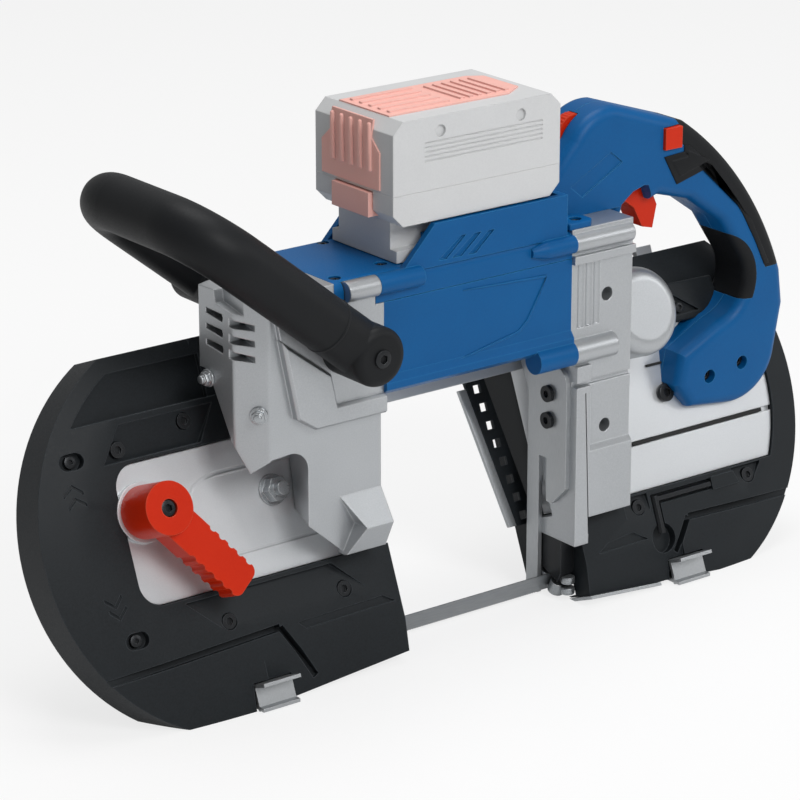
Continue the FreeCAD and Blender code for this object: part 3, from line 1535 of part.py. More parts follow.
# Motor in its housing
def make_motor_housing():
    profile = [(body_near, body_seam), (body_near, ledge_rise + ledge_height),
               (body_near - ledge_reach, ledge_rise + ledge_height / 2), (body_near - ledge_reach,
                                                                          ledge_rise),
               (body_near + ledge_reach, ledge_rise - ledge_height / 2), (body_near + 2 * body_corner,
                                                                          body_low),
               (body_far, body_low), (body_far, body_seam)]
    tie = rod(low_tie_radius, V(low_tie_front, body_near, low_tie_rise),
              V(body_rear, body_near, low_tie_rise))
    body = fused([prism_x(profile, body_front, body_rear),
                  tie]).common(in_front_of(-plate_depth + seam_gap))
    cavity = rod(motor_radius, motor_axis + V(body_front + small_bearing_width, 0, 0),
                 motor_axis + V(body_rear - small_bearing_width, 0, 0))
    seats = rod(small_bearing_radius, motor_axis + V(body_front, 0, 0), motor_axis + V(body_rear, 0, 0))
    return body.cut(cavity).cut(seats)


def make_rotor():
    shaft = rod(shaft_radius, motor_axis + V(body_front + seam_gap, 0, 0), motor_axis + V(lay_gear_x, 0, 0))
    core = rod(rotor_radius, motor_axis + V(stator_front, 0, 0), motor_axis + V(stator_rear, 0, 0))
    pinion = spur_gear(motor_pinion_teeth, lay_module, math.pi + math.pi / motor_pinion_teeth,
                       lay_gear_width)
    pinion = on_deck(on_x_axis(pinion, lay_gear_x, motor_deck.y, motor_deck.z))
    return fused([shaft, core, pinion])


def make_fan():
    start = motor_axis + V(stator_rear + fan_width, 0, 0)
    hub = rod(2 * shaft_radius, start, start + V(fan_width, 0, 0))
    plate = rod(fan_radius, start, start + V(fan_blade_thickness, 0, 0))
    blades = []
    for index in range(fan_blade_count):
        blade = box(start.x, start.x + fan_width, start.y - fan_blade_thickness / 2,
                    start.y + fan_blade_thickness / 2,
                    start.z + shaft_radius, start.z + fan_radius)
        blade.rotate(start, V(1, 0, 0), 360 * index / fan_blade_count)
        blades.append(blade)
    return fused([hub, plate] + blades).cut(rod(shaft_radius, start, start + V(fan_width, 0, 0)))


pieces["motor_housing"] = make_motor_housing()
pieces["stator"] = tube(motor_radius, rotor_radius + rotor_gap, motor_axis + V(stator_front, 0, 0),
                        motor_axis + V(stator_rear, 0, 0))
pieces["rotor"] = make_rotor()
pieces["cooling_fan"] = make_fan()


# Top cover with the battery bay
def make_top_cover():
    low = body_seam + seam_gap
    plate = box(top_front, body_rear, body_near, body_far, low, deck_top)
    plate = rounded(plate, top_rib_radius, V(1, 0, 0), lambda c: c.z > low)
    hollow = box(top_front + top_wall, body_rear - top_wall, body_near + top_wall, body_far - top_wall, low,
                 deck_top - top_wall)
    side = [(bay_front - bay_ramp_length, deck_top - top_wall), (bay_front, bay_wall_top),
            (bay_rear, bay_wall_top),
            (bay_rear, deck_top - top_wall)]
    near_wall = prism_y(side, body_near, body_near + bay_wall)
    far_wall = prism_y(side, body_far - bay_wall, body_far)
    back_wall = box(bay_rear - bay_wall, bay_rear, body_near, body_far, deck_top - top_wall, bay_wall_top)
    near_rail = box(bay_front, bay_rear - bay_wall, body_near, body_mid - rail_inner_half, rail_low,
                    rail_low + rail_height)
    far_rail = box(bay_front, bay_rear - bay_wall, body_mid + rail_inner_half, body_far, rail_low,
                   rail_low + rail_height)
    front_tie = rod(front_tie_radius, V(front_tie_split + seam_gap, body_near, front_tie_rise),
                    V(front_tie_rear, body_near, front_tie_rise))
    taper_end = V(rear_tie_front + rear_tie_taper, body_near, rear_tie_rise)
    taper = cone(rear_tie_radius / 2, rear_tie_radius, V(rear_tie_front, body_near, rear_tie_rise),
                 taper_end)
    rear_tie = rod(rear_tie_radius, taper_end, V(body_rear, body_near, rear_tie_rise))
    plate = plate.cut(front_tie_sleeve(1)).cut(hollow)
    return fused([plate, near_wall, far_wall, back_wall, near_rail, far_rail, front_tie, taper, rear_tie])


pieces["top_cover"] = make_top_cover()


# Battery pack: a wide case on a narrow foot that slides along the bay rails
pack_foot_low = deck_top + bay_gap
pack_half = pack_width / 2


def pack_case(inset):
    # the case has cut corners seen from the side
    x0 = pack_front + inset
    x1 = pack_rear - inset
    z0 = pack_low + inset
    z1 = pack_top - inset
    corner = pack_chamfer - (2 - math.sqrt(2)) * inset
    outline = [(x0 + corner, z0), (x1 - corner, z0), (x1, z0 + corner), (x1, z1 - corner),
               (x1 - corner, z1),
               (x0 + corner, z1), (x0, z1 - corner), (x0, z0 + corner)]
    half = pack_half - inset
    return prism_y(outline, body_mid - half, body_mid + half)


def button_block(grow):
    return box(pack_front - pack_button_proud - overrun * grow,
               pack_front + pack_button_depth - pack_button_proud
               + (pack_button_travel + bay_gap) * grow, body_mid - pack_button_width / 2 - bay_gap * grow,
               body_mid + pack_button_width / 2 + bay_gap * grow, pack_button_rise - bay_gap * grow,
               pack_button_rise + pack_button_height + bay_gap * grow)


def make_battery_housing():
    case = pack_case(0).cut(pack_case(pack_wall))
    neck = box(pack_front + pack_chamfer, pack_foot_rear, body_mid - pack_neck_half,
               body_mid + pack_neck_half,
               pack_foot_low, pack_low)
    flange = box(pack_front + pack_chamfer, pack_foot_rear, body_mid - pack_flange_half,
                 body_mid + pack_flange_half,
                 pack_foot_low, pack_foot_low + pack_flange_height)
    above = box(pack_front - overrun, pack_rear + overrun, 0, 2 * body_far, pack_seam, pack_top + overrun)
    return fused([case.cut(above), neck, flange]).cut(button_block(1))


def make_battery_lid():
    below = box(pack_front - overrun, pack_rear + overrun, 0, 2 * body_far, pack_low - overrun, pack_seam)
    return pack_case(0).cut(pack_case(pack_wall)).cut(below).cut(button_block(1))


def make_battery_cells():
    cells = []
    half = cell_length / 2
    for row in range(2):
        z = pack_low + pack_wall + cell_radius + row * (2 * cell_radius + pack_wall)
        for column in range(cell_columns):
            x = cell_middle_x + (column - (cell_columns - 1) / 2) * cell_pitch
            cells.append(rod(cell_radius, V(x, body_mid - half, z), V(x, body_mid + half, z)))
    return Part.makeCompound(cells)


def make_terminals():
    x0 = pack_foot_rear + terminal_gap
    half = terminal_width / 2
    block = box(x0, x0 + terminal_length, body_mid - half, body_mid + half, deck_top,
                deck_top + terminal_height)
    slots = []
    for index in (-1, 0, 1):
        y = body_mid + index * terminal_length
        slots.append(box(x0, x0 + terminal_length / 2, y - top_wall / 2, y + top_wall / 2,
                         deck_top + top_wall,
                         deck_top + terminal_height))
    return block.cut(fused(slots))


pieces["battery_housing"] = make_battery_housing()
pieces["battery_lid"] = make_battery_lid()
pieces["battery_button"] = button_block(0)
pieces["battery_cells"] = make_battery_cells()
pieces["battery_terminals"] = make_terminals()


# Rear D-handle in two shells with soft grips
def handle_point(shares):
    # the side view of the handle is drawn in a square of one span
    return V(neck_front + handle_span * shares[0], body_mid - handle_half_width,
             handle_low + handle_span * shares[1])


def make_handle():
    start = V(neck_front, body_mid - handle_half_width, deck_top)
    end = V(neck_rear, body_mid - handle_half_width, deck_top)
    path = []
    corner = start
    for step in (neck_shoulder_shares, neck_brow_shares, (neck_crown_shares, handle_crown_shares),
                 grip_start_shares,
                 (grip_bulge_shares, grip_end_shares), heel_top_shares, heel_low_shares,
                 (heel_bend_shares, foot_low_shares), foot_front_shares, foot_top_shares, foot_knee_shares,
                 gap_floor_shares, (gap_bend_shares, gap_back_shares), gap_rise_shares, gap_top_shares,
                 neck_under_shares, neck_low_shares):
        if isinstance(step[0], tuple):
            last = handle_point(step[1])
            path.append(Part.Arc(corner, handle_point(step[0]), last).toShape())
        else:
            last = handle_point(step)
            path.append(Part.makeLine(corner, last))
        corner = last
    path.append(Part.makeLine(corner, end))
    path.append(Part.makeLine(end, start))
    solid = Part.Face(Part.Wire(path)).extrude(V(0, 2 * handle_half_width, 0))
    edges = []
    for edge in solid.Edges:
        flat = edge.BoundBox.YLength < running_fit
        above_neck = edge.CenterOfMass.z > deck_top + running_fit
        if flat and (above_neck or edge.CenterOfMass.x > neck_rear):
            edges.append(edge)
    return solid.makeFillet(handle_round, edges)


def arc_center(first, middle, last):
    circle = Part.Arc(handle_point(first), handle_point(middle), handle_point(last)).toShape().Curve
    return circle.Center, circle.Radius


def across_handle(radius, center):
    start = V(center.x, body_mid - 2 * handle_half_width, center.z)
    return rod(radius, start, start + V(0, 4 * handle_half_width, 0))


def make_grips(handle):
    center, radius = arc_center(grip_start_shares, grip_bulge_shares, grip_end_shares)
    reach = 2 * handle_half_width
    heel = handle_point(heel_top_shares)
    crown = handle_point(handle_crown_shares)
    outer_zone = box(grip_outer_left, heel.x + overrun, body_mid - reach, body_mid + reach, grip_outer_low,
                     crown.z)
    outer = handle.common(outer_zone).cut(across_handle(radius - grip_outer_depth, center))
    center, radius = arc_center(gap_floor_shares, gap_bend_shares, gap_back_shares)
    gap_top = handle_point(gap_top_shares)
    inner_zone = box(grip_inner_left, heel.x, body_mid - reach, body_mid + reach, grip_inner_low, gap_top.z)
    shell = across_handle(radius + grip_inner_depth, center)
    inner = handle.common(inner_zone).common(shell)
    return outer, inner


def make_trigger(grow):
    half = trigger_width / 2
    outline = []
    for along, up in trigger_shares:
        outline.append((trigger_front + trigger_length * along, trigger_low + trigger_height * up))
    if grow == 0:
        return prism_y(outline, body_mid - half, body_mid + half)
    return box(trigger_front - trigger_gap, trigger_front + trigger_length + trigger_travel + trigger_gap,
               body_mid - half - trigger_gap, body_mid + half + trigger_gap, trigger_low - trigger_gap,
               trigger_pocket_top)


def make_lock_button(grow):
    reach = handle_half_width + lock_proud + overrun * grow
    return box(lock_front - lock_gap * grow, lock_rear + lock_gap * grow, body_mid - reach,
               body_mid + reach,
               lock_low - lock_gap * grow, lock_top + lock_gap * grow)


def make_dial(grow):
    half = V(0, dial_width / 2 + dial_gap * grow, 0)
    reach = V(0, dial_axle_reach + dial_gap * grow, 0)
    middle = V(dial_x, body_mid, dial_z)
    wheel = rod(dial_radius + dial_gap * grow, middle - half, middle + half)
    axle = rod(dial_axle_radius + running_fit * grow, middle - reach, middle + reach)
    return wheel.fuse(axle).removeSplitter()


def make_switch():
    half = switch_width / 2
    return box(switch_front, switch_rear, body_mid - half, body_mid + half, trigger_pocket_top, switch_top)


handle = make_handle().common(in_front_of(-panel_sink)).cut(beside_rear_panel())
outer_grip, inner_grip = make_grips(handle)
handle = handle.cut(fused([make_trigger(1), make_lock_button(1), make_dial(1), make_switch()]))
handle = handle.cut(outer_grip).cut(inner_grip)
handle_reach = wheel_spacing
near_side = box(0, handle_reach, 0, body_mid - handle_split_gap / 2, 0, handle_reach)
far_side = box(0, handle_reach, body_mid + handle_split_gap / 2, 2 * body_far, 0, handle_reach)
pieces["handle_near_shell"] = handle.common(near_side)
pieces["handle_far_shell"] = handle.common(far_side)
pieces["grip_overmould"] = Part.makeCompound([outer_grip, inner_grip])
pieces["trigger"] = make_trigger(0)
pieces["lock_button"] = make_lock_button(0)
pieces["speed_dial"] = make_dial(0)
pieces["switch_block"] = make_switch()


# Front bail handle, bolted to both sides of the front bracket
def make_bail():
    near_y = body_near - bail_gap - bail_radius
    far_y = body_far + bail_gap + bail_radius
    foot = V(bail_pivot_x, near_y, bail_pivot_z)
    corner = V(bail_corner_x, near_y, bail_corner_z)
    rise = (corner - foot).normalize()
    side = V(0, 1, 0)
    over = V(0, far_y - near_y, 0)
    far_end = foot + (corner - foot) * bail_far_share + over
    near_bend = corner - rise * bail_bend
    near_cross = corner + side * bail_bend
    far_cross = corner + over - side * bail_bend
    far_bend = corner + over - rise * bail_bend
    turn_axis = rise.cross(side)
    near_disc = Part.Face(Part.Wire(Part.makeCircle(bail_radius, near_bend, rise)))
    near_elbow = near_disc.revolve(near_bend + side * bail_bend, turn_axis, 90)
    far_disc = Part.Face(Part.Wire(Part.makeCircle(bail_radius, far_cross, side)))
    far_elbow = far_disc.revolve(far_cross - rise * bail_bend, turn_axis, 90)
    half = side * (bail_radius + bail_gap)
    near_boss = rod(bail_boss_radius, foot - half, foot + half)
    rim = [edge for edge in near_boss.Edges if edge.BoundBox.YMax < foot.y]
    near_boss = near_boss.makeFillet(bail_boss_round, rim)
    return fused([rod(bail_radius, foot, near_bend), near_elbow, rod(bail_radius, near_cross, far_cross),
                  far_elbow,
                  rod(bail_radius, far_bend, far_end), near_boss,
                  rod(bail_boss_radius, far_end - half, far_end + half),
                  rod(bail_lug_radius, V(far_end.x, body_mid, far_end.z), far_end)])


def make_bail_filling():
    # the bracket with its inside filled, so that the handle's lug stops at the outer face
    return prism_z(nose_plan(0), body_low, bracket_top)


pieces["bail_handle"] = make_bail().cut(make_bail_filling())


# Work stop, throat guard, channel cover and stored key
def make_work_stop():
    outline = [(stop_near, stop_top), (stop_far, stop_top), (stop_far, stop_low), (stop_slot_far, stop_low),
               (stop_slot_far, stop_slot_top), (stop_slot_near, stop_slot_top), (stop_slot_near,
                                                                                 stop_near_low),
               (stop_near + stop_chamfer, stop_near_low), (stop_near, stop_near_low + stop_chamfer)]
    plate = prism_x(outline, column_front - stop_thickness, column_front)
    return rounded(plate, stop_chamfer, V(1, 0, 0), lambda c: c.z > stop_top - running_fit)


def make_throat_guard():
    top = bridge_low - seam_gap
    depth = -guard_strip_depth
    strip = prism([V(guard_strip_top_x, top, depth), V(guard_strip_top_x + guard_strip_width, top, depth),
                   V(guard_strip_low_x + guard_strip_width, guard_strip_low, depth),
                   V(guard_strip_low_x, guard_strip_low, depth)], V(0, 0, guard_strip_thickness))
    holes = []
    half = guard_hole_size / 2
    for index in range(guard_hole_count):
        share = (index + 1 / 2) / guard_hole_count
        x = guard_strip_top_x + (guard_strip_low_x - guard_strip_top_x) * share + guard_strip_width / 2
        u = top + (guard_strip_low - top) * share
        holes.append(box(x - half, x + half, u - half, u + half, depth - small_overrun, depth + overrun))
    return on_deck(strip.cut(fused(holes)))


def make_hex_key():
    start = V(0, 0, 0)
    radius = key_across / math.sqrt(3)
    corners = []
    for index in range(6):
        angle = math.pi * index / 3
        corners.append(V(radius * math.cos(angle), radius * math.sin(angle), 0))
    section = prism(corners, V(0, 0, key_long_length))
    long_arm = on_x_axis(section, key_corner_x, key_rise, -key_sink)
    short_arm = prism(corners, V(0, 0, key_short_length + key_across / 2))
    short_arm.rotate(start, V(1, 0, 0), 90)
    short_arm.translate(V(key_corner_x, key_rise + key_across / 2, -key_sink))
    return on_deck(fused([long_arm, short_arm]))


def make_channel_cover():
    near = -bridge_back - seam_gap
    return on_deck(box(throat_front + seam_gap, throat_rear - seam_gap, bridge_low, bridge_high,
                       near - guard_strip_thickness, near))


def make_screws():
    heads = []
    for x, u in front_screws + rear_screws:
        heads.append(on_deck(socket_screw(x, u, -screw_height - screw_sink)))
    for share in stop_screw_shares:
        face = V(column_front - stop_thickness, stop_screw_y, stop_top * share)
        head = rod(stop_screw_radius, face - V(stop_screw_height, 0, 0), face)
        heads.append(head.cut(rod(screw_socket, face - V(stop_screw_height, 0, 0),
                                  face - V(stop_screw_height - screw_socket_depth, 0, 0))))
    return Part.makeCompound(heads)


pieces["work_stop"] = make_work_stop()
pieces["throat_guard"] = make_throat_guard()
pieces["blade_channel_cover"] = make_channel_cover()
pieces["hex_key"] = make_hex_key()
pieces["screws"] = make_screws()

# The origin lies under the middle of the saw's bounding box, on the ground
whole = Part.makeCompound(list(pieces.values())).optimalBoundingBox(False, False)
to_origin = V(-(whole.XMin + whole.XMax) / 2, -(whole.YMin + whole.YMax) / 2, -whole.ZMin)
print("moved by", to_origin.x, to_origin.y, to_origin.z)

os.makedirs("parts", exist_ok=True)
for name, shape in pieces.items():
    moved = shape.translated(to_origin)
    moved.exportStep("parts/" + name + ".step")
    print(name, len(moved.Solids), moved.Volume, moved.isValid())
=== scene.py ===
import bpy
import math
from mathutils import Matrix, Vector


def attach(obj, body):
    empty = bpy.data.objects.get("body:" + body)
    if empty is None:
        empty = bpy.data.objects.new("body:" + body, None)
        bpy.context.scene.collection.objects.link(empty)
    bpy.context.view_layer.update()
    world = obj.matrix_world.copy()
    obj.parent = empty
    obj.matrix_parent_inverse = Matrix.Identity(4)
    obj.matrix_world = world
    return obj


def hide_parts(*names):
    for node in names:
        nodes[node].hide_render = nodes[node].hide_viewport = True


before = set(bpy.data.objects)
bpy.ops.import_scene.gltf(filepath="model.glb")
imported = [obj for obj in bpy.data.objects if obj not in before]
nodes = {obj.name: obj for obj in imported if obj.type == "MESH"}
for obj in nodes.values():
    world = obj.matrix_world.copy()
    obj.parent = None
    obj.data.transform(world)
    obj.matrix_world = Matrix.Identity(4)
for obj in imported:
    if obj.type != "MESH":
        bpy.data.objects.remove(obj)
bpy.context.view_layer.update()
print("frame loaded:", len(nodes), "nodes")

mm = 0.001
scene = bpy.context.scene


def linear(code):
    parts = [int(code[i:i + 2], 16) / 255 for i in (1, 3, 5)]
    parts = [p / 12.92 if p <= 0.04045 else ((p + 0.055) / 1.055) ** 2.4 for p in parts]
    return (*parts, 1.0)


def addNode(tree, kind, settings=None, values=None, links=None):
    node = tree.nodes.new(kind)
    for name, value in (settings or {}).items():
        setattr(node, name, value)
    for socket, value in (values or {}).items():
        node.inputs[socket].default_value = value
    for socket, source in (links or {}).items():
        tree.links.new(source, node.inputs[socket])
    return node


# every finish has a body colour with slow drift, a fine grain that lifts the surface, and edges painted
# paler, a painted highlight along each edge with a little rubbing wear; eroded, blasted and rolled skins have
# a grain of about 0.1 mm, too fine to show in the render, so grainMm draws it coarser
skin = {"driftDetail": 3.0, "driftRough": 0.55, "grainDetail": 4.0, "grainRough": 0.6,
        "speckRange": (0.35, 0.7), "rubAndHighlightRange": (0.995, 0.8), "sheenRange": (0.3, 0.7), "gloss": 0.3}


def makeFinish(name, look):
    material = bpy.data.materials.new(name)
    material.use_nodes = True
    tree = material.node_tree
    tree.nodes.clear()
    place = addNode(tree, "ShaderNodeTexCoord")
    stretch = addNode(tree, "ShaderNodeMapping", None, {"Scale": look.get("stretch", (1, 1, 1))},
                      {"Vector": place.outputs["Object"]})
    drift = addNode(tree, "ShaderNodeTexNoise", None,
                    {"Scale": 1 / (look["driftMm"] * mm), "Detail": skin["driftDetail"],
                     "Roughness": skin["driftRough"]},
                    {"Vector": place.outputs["Object"]})
    grain = addNode(tree, "ShaderNodeTexNoise", None,
                    {"Scale": 1 / (look["grainMm"] * mm), "Detail": skin["grainDetail"],
                     "Roughness": skin["grainRough"]},
                    {"Vector": stretch.outputs["Vector"]})
    body = addNode(tree, "ShaderNodeMix", {"data_type": "RGBA"},
                   {6: linear(look["dark"]), 7: linear(look["pale"])}, {0: drift.outputs["Fac"]})
    speck = addNode(tree, "ShaderNodeMapRange", None,
                    {"From Min": skin["speckRange"][0], "From Max": skin["speckRange"][1],
                     "To Min": 0.0, "To Max": look["speck"]},
                    {"Value": grain.outputs["Fac"]})
    grained = addNode(tree, "ShaderNodeMix", {"data_type": "RGBA"}, {7: linear(look["grain"])},
                      {0: speck.outputs["Result"], 6: body.outputs[2]})
    soft = addNode(tree, "ShaderNodeBevel", {"samples": 4}, {"Radius": look["edgeMm"] * mm})
    true = addNode(tree, "ShaderNodeNewGeometry")
    match = addNode(tree, "ShaderNodeVectorMath", {"operation": "DOT_PRODUCT"}, None,
                    {0: soft.outputs["Normal"], 1: true.outputs["Normal"]})
    # edges, found where the bevelled normal leaves the true one, are painted paler: a painted highlight with
    # a little rubbing wear
    edge = addNode(tree, "ShaderNodeMapRange", None,
                   {"From Min": skin["rubAndHighlightRange"][0], "From Max": skin["rubAndHighlightRange"][1],
                    "To Min": 0.0, "To Max": look["wear"]},
                   {"Value": match.outputs["Value"]})
    rubbedAndLit = addNode(tree, "ShaderNodeMix", {"data_type": "RGBA"}, {7: linear(look["edge"])},
                   {0: edge.outputs["Result"], 6: grained.outputs[2]})
    sheen = addNode(tree, "ShaderNodeMapRange", None,
                    {"From Min": skin["sheenRange"][0], "From Max": skin["sheenRange"][1],
                     "To Min": look["rough"][0], "To Max": look["rough"][1]},
                    {"Value": grain.outputs["Fac"]})
    lift = addNode(tree, "ShaderNodeBump", None,
                   {"Strength": look["bump"], "Distance": look["bumpMm"] * mm},
                   {"Height": grain.outputs["Fac"], "Normal": soft.outputs["Normal"]})
    shader = addNode(tree, "ShaderNodeBsdfPrincipled", None, {"Metallic": look.get("metal", 0.0)},
                     {"Base Color": rubbedAndLit.outputs[2], "Roughness": sheen.outputs["Result"],
                      "Normal": lift.outputs["Normal"]})
    if "ior" in look:
        shader.inputs["IOR"].default_value = look["ior"]
        shader.inputs["Specular IOR Level"].default_value = skin["gloss"]
    addNode(tree, "ShaderNodeOutputMaterial", None, None, {"Surface": shader.outputs["BSDF"]})
    return material


# glass-filled nylon moulded against a spark-eroded tool: deep even blue, soft sheen, edges painted a little
# paler as a highlight
blueNylon = makeFinish("blueNylonMoulded", {
    "dark": "#004A82", "pale": "#005994", "grain": "#0A68A6", "speck": 0.2, "edge": "#3F95CC", "wear": 0.6,
    "driftMm": 60, "grainMm": 0.9, "rough": (0.36, 0.5), "bump": 0.12, "bumpMm": 0.12,
    "edgeMm": 0.9, "ior": 1.38})

# the same nylon in charcoal, on bumpers and covers: faint grey mottling and corners painted paler, a painted
# highlight with some rubbing
charcoalNylon = makeFinish("charcoalNylonMoulded", {
    "dark": "#14171A", "pale": "#1E2225", "grain": "#2D3236", "speck": 0.3, "edge": "#555B60", "wear": 0.6,
    "driftMm": 70, "grainMm": 1.1, "rough": (0.4, 0.58), "bump": 0.18, "bumpMm": 0.15,
    "edgeMm": 0.9, "ior": 1.38})

# thermoplastic elastomer overmould: nearly black, dull, with a fine leathery grain
softGrip = makeFinish("softGripElastomer", {
    "dark": "#111214", "pale": "#17191B", "grain": "#232528", "speck": 0.25, "edge": "#34373A", "wear": 0.35,
    "driftMm": 50, "grainMm": 0.8, "rough": (0.42, 0.6), "bump": 0.2, "bumpMm": 0.12,
    "edgeMm": 1.4, "ior": 1.36})

# die-cast aluminium, shot blasted: mid silver with a sandy glitter and corners painted bright as a highlight
castSilver = makeFinish("dieCastAluminiumBlasted", {
    "dark": "#A3A6A9", "pale": "#B2B5B8", "grain": "#C6C9CB", "speck": 0.4, "edge": "#E4E6E8", "wear": 0.6,
    "driftMm": 45, "grainMm": 0.7, "rough": (0.3, 0.44), "bump": 0.2, "bumpMm": 0.1,
    "edgeMm": 1.2, "metal": 0.75})

# machined and fine-blasted aluminium deck: the palest metal on the tool, satin
deckSilver = makeFinish("aluminiumDeckSatin", {
    "dark": "#C4C7CA", "pale": "#D3D6D9", "grain": "#DEE0E2", "speck": 0.35, "edge": "#F0F1F2", "wear": 0.6,
    "driftMm": 60, "grainMm": 0.6, "rough": (0.3, 0.44), "bump": 0.12, "bumpMm": 0.08,
    "edgeMm": 0.9, "metal": 0.55})

# nylon in signal red, from a finer tool: smooth, a shade glossier than the blue, with corners painted paler
# as a highlight
redNylon = makeFinish("redNylonSatin", {
    "dark": "#BE2000", "pale": "#CE2A04", "grain": "#D83A12", "speck": 0.16, "edge": "#EE7450", "wear": 0.5,
    "driftMm": 30, "grainMm": 0.9, "rough": (0.3, 0.44), "bump": 0.1, "bumpMm": 0.1,
    "edgeMm": 0.9, "ior": 1.38})

# pale grey ABS of the battery case: matt and chalky
paleAbs = makeFinish("paleAbsMoulded", {
    "dark": "#C6C7C8", "pale": "#D0D1D2", "grain": "#DBDCDC", "speck": 0.25, "edge": "#EAEAEA", "wear": 0.5,
    "driftMm": 50, "grainMm": 0.9, "rough": (0.4, 0.55), "bump": 0.12, "bumpMm": 0.1,
    "edgeMm": 0.9, "ior": 1.38})

# the battery's second shot of ABS, salmon pink
salmonAbs = makeFinish("salmonAbsMoulded", {
    "dark": "#F0B1A5", "pale": "#F5BDB2", "grain": "#F8C8BF", "speck": 0.25, "edge": "#FBDDD7", "wear": 0.5,
    "driftMm": 40, "grainMm": 0.9, "rough": (0.36, 0.5), "bump": 0.1, "bumpMm": 0.1,
    "edgeMm": 0.9, "ior": 1.38})

# rolled blade strip: grey steel with rolling lines along its length
stripSteel = makeFinish("bladeStripSteel", {
    "dark": "#85888B", "pale": "#94979A", "grain": "#A9ACAE", "speck": 0.5, "edge": "#C6C8CA", "wear": 0.5,
    "stretch": (0.06, 1, 1),
    "driftMm": 30, "grainMm": 0.6, "rough": (0.28, 0.42), "bump": 0.1, "bumpMm": 0.04,
    "edgeMm": 0.3, "metal": 0.85})

# zinc plating on steel: bluish white with soft clouding
zincSteel = makeFinish("zincPlatedSteel", {
    "dark": "#93979A", "pale": "#ACB0B3", "grain": "#C6C9CB", "speck": 0.35, "edge": "#F0F1F2", "wear": 0.8,
    "driftMm": 12, "grainMm": 0.8, "rough": (0.24, 0.4), "bump": 0.08, "bumpMm": 0.05,
    "edgeMm": 0.5, "metal": 0.85})

# plain steel sheet of the work stop and latches: satin, brushed upright
stopSteel = makeFinish("steelSheetBrushed", {
    "dark": "#A4A7AA", "pale": "#B3B6B8", "grain": "#C4C7C9", "speck": 0.45, "edge": "#E6E8E9", "wear": 0.65,
    "stretch": (1, 1, 0.08),
    "driftMm": 40, "grainMm": 0.5, "rough": (0.3, 0.46), "bump": 0.1, "bumpMm": 0.04,
    "edgeMm": 0.5, "metal": 0.75})

# black oxide on steel: blue-black, thinly oiled, corners painted bright, a painted highlight with some wear
blackOxide = makeFinish("blackOxideSteel", {
    "dark": "#1B1C1E", "pale": "#25272A", "grain": "#34373A", "speck": 0.3, "edge": "#6A6E72", "wear": 0.5,
    "driftMm": 10, "grainMm": 0.5, "rough": (0.28, 0.42), "bump": 0.1, "bumpMm": 0.04,
    "edgeMm": 0.4, "metal": 0.6})

# ground rubber of the wheel tyres
tyreRubber = makeFinish("groundRubber", {
    "dark": "#1A1A1A", "pale": "#232323", "grain": "#303030", "speck": 0.3, "edge": "#444444", "wear": 0.3,
    "driftMm": 25, "grainMm": 0.6, "rough": (0.6, 0.8), "bump": 0.3, "bumpMm": 0.1,
    "edgeMm": 0.5, "ior": 1.52})

# stacked motor laminations: dark iron with fine lines across the axis
laminatedIron = makeFinish("laminatedIron", {
    "dark": "#4A4C4E", "pale": "#585A5C", "grain": "#77797B", "speck": 0.6, "edge": "#8E9092", "wear": 0.4,
    "stretch": (1, 0.05, 0.05),
    "driftMm": 20, "grainMm": 0.5, "rough": (0.4, 0.55), "bump": 0.2, "bumpMm": 0.05,
    "edgeMm": 0.5, "metal": 0.7})

# shrink sleeve on the cells: smooth green film
cellSleeve = makeFinish("cellShrinkSleeve", {
    "dark": "#2A6A4A", "pale": "#327855", "grain": "#3D8862", "speck": 0.15, "edge": "#6FA88A", "wear": 0.3,
    "driftMm": 20, "grainMm": 1.2, "rough": (0.25, 0.35), "bump": 0.05, "bumpMm": 0.05,
    "edgeMm": 0.5, "ior": 1.36})

finishes = {
    blueNylon: ["motor_housing", "top_cover", "handle_near_shell", "handle_far_shell"],
    charcoalNylon: ["front_bumper", "rear_bumper", "front_wheel_cover", "rear_wheel_cover", "cooling_fan",
                    "battery_terminals", "switch_block", "throat_guard", "blade_channel_cover"],
    softGrip: ["grip_overmould", "bail_handle"],
    castSilver: ["front_bracket", "rear_bracket", "gearbox_cover", "idler_wheel", "drive_wheel"],
    deckSilver: ["deck_frame"],
    redNylon: ["tension_lever", "trigger", "lock_button", "speed_dial"],
    paleAbs: ["battery_housing", "battery_lid"],
    salmonAbs: ["battery_button"],
    stripSteel: ["blade"],
    zincSteel: ["clamp_stud", "hinge_pins", "latch_pins", "idler_bearings", "drive_bearings",
                "small_bearings", "tension_slide", "drive_shaft", "lever_cam", "tension_spring",
                "guide_roller_near", "guide_roller_far"],
    stopSteel: ["work_stop", "front_latch", "rear_latch", "lower_guide_plate"],
    blackOxide: ["hex_key", "screws", "front_guide", "rear_guide", "drive_gear", "cross_shaft", "bevel_gear",
                 "layshaft", "layshaft_gear", "rotor"],
    tyreRubber: ["idler_tyre", "drive_tyre"],
    laminatedIron: ["stator"],
    cellSleeve: ["battery_cells"],
}
for finish, names in finishes.items():
    for name in names:
        nodes[name].data.materials.clear()
        nodes[name].data.materials.append(finish)
print("finishes set on", sum(len(names) for names in finishes.values()), "nodes")

# deck measures in mm: x along the saw, u up the leaning deck, n out of it towards the motor
deck = {"leanBack": 22.0, "setBack": 54.954, "endX": 155.0, "ringRise": 108.0, "flatRadius": 92.0,
        "slopeWidth": 27.0, "slopeDrop": 5.0, "flatFoot": 28.0}
deckMatrix = (Matrix.Translation((0, -deck["setBack"] * mm, 0))
              @ Matrix.Rotation(math.radians(90 - deck["leanBack"]), 4, "X"))
up = (0, 0, 1)
nearSide = (0, -1, 0)
weld = 0.002            # points of a copied mesh nearer than this, in mm, are one
roundSteps = 8          # straight runs in the half round at a slot's end


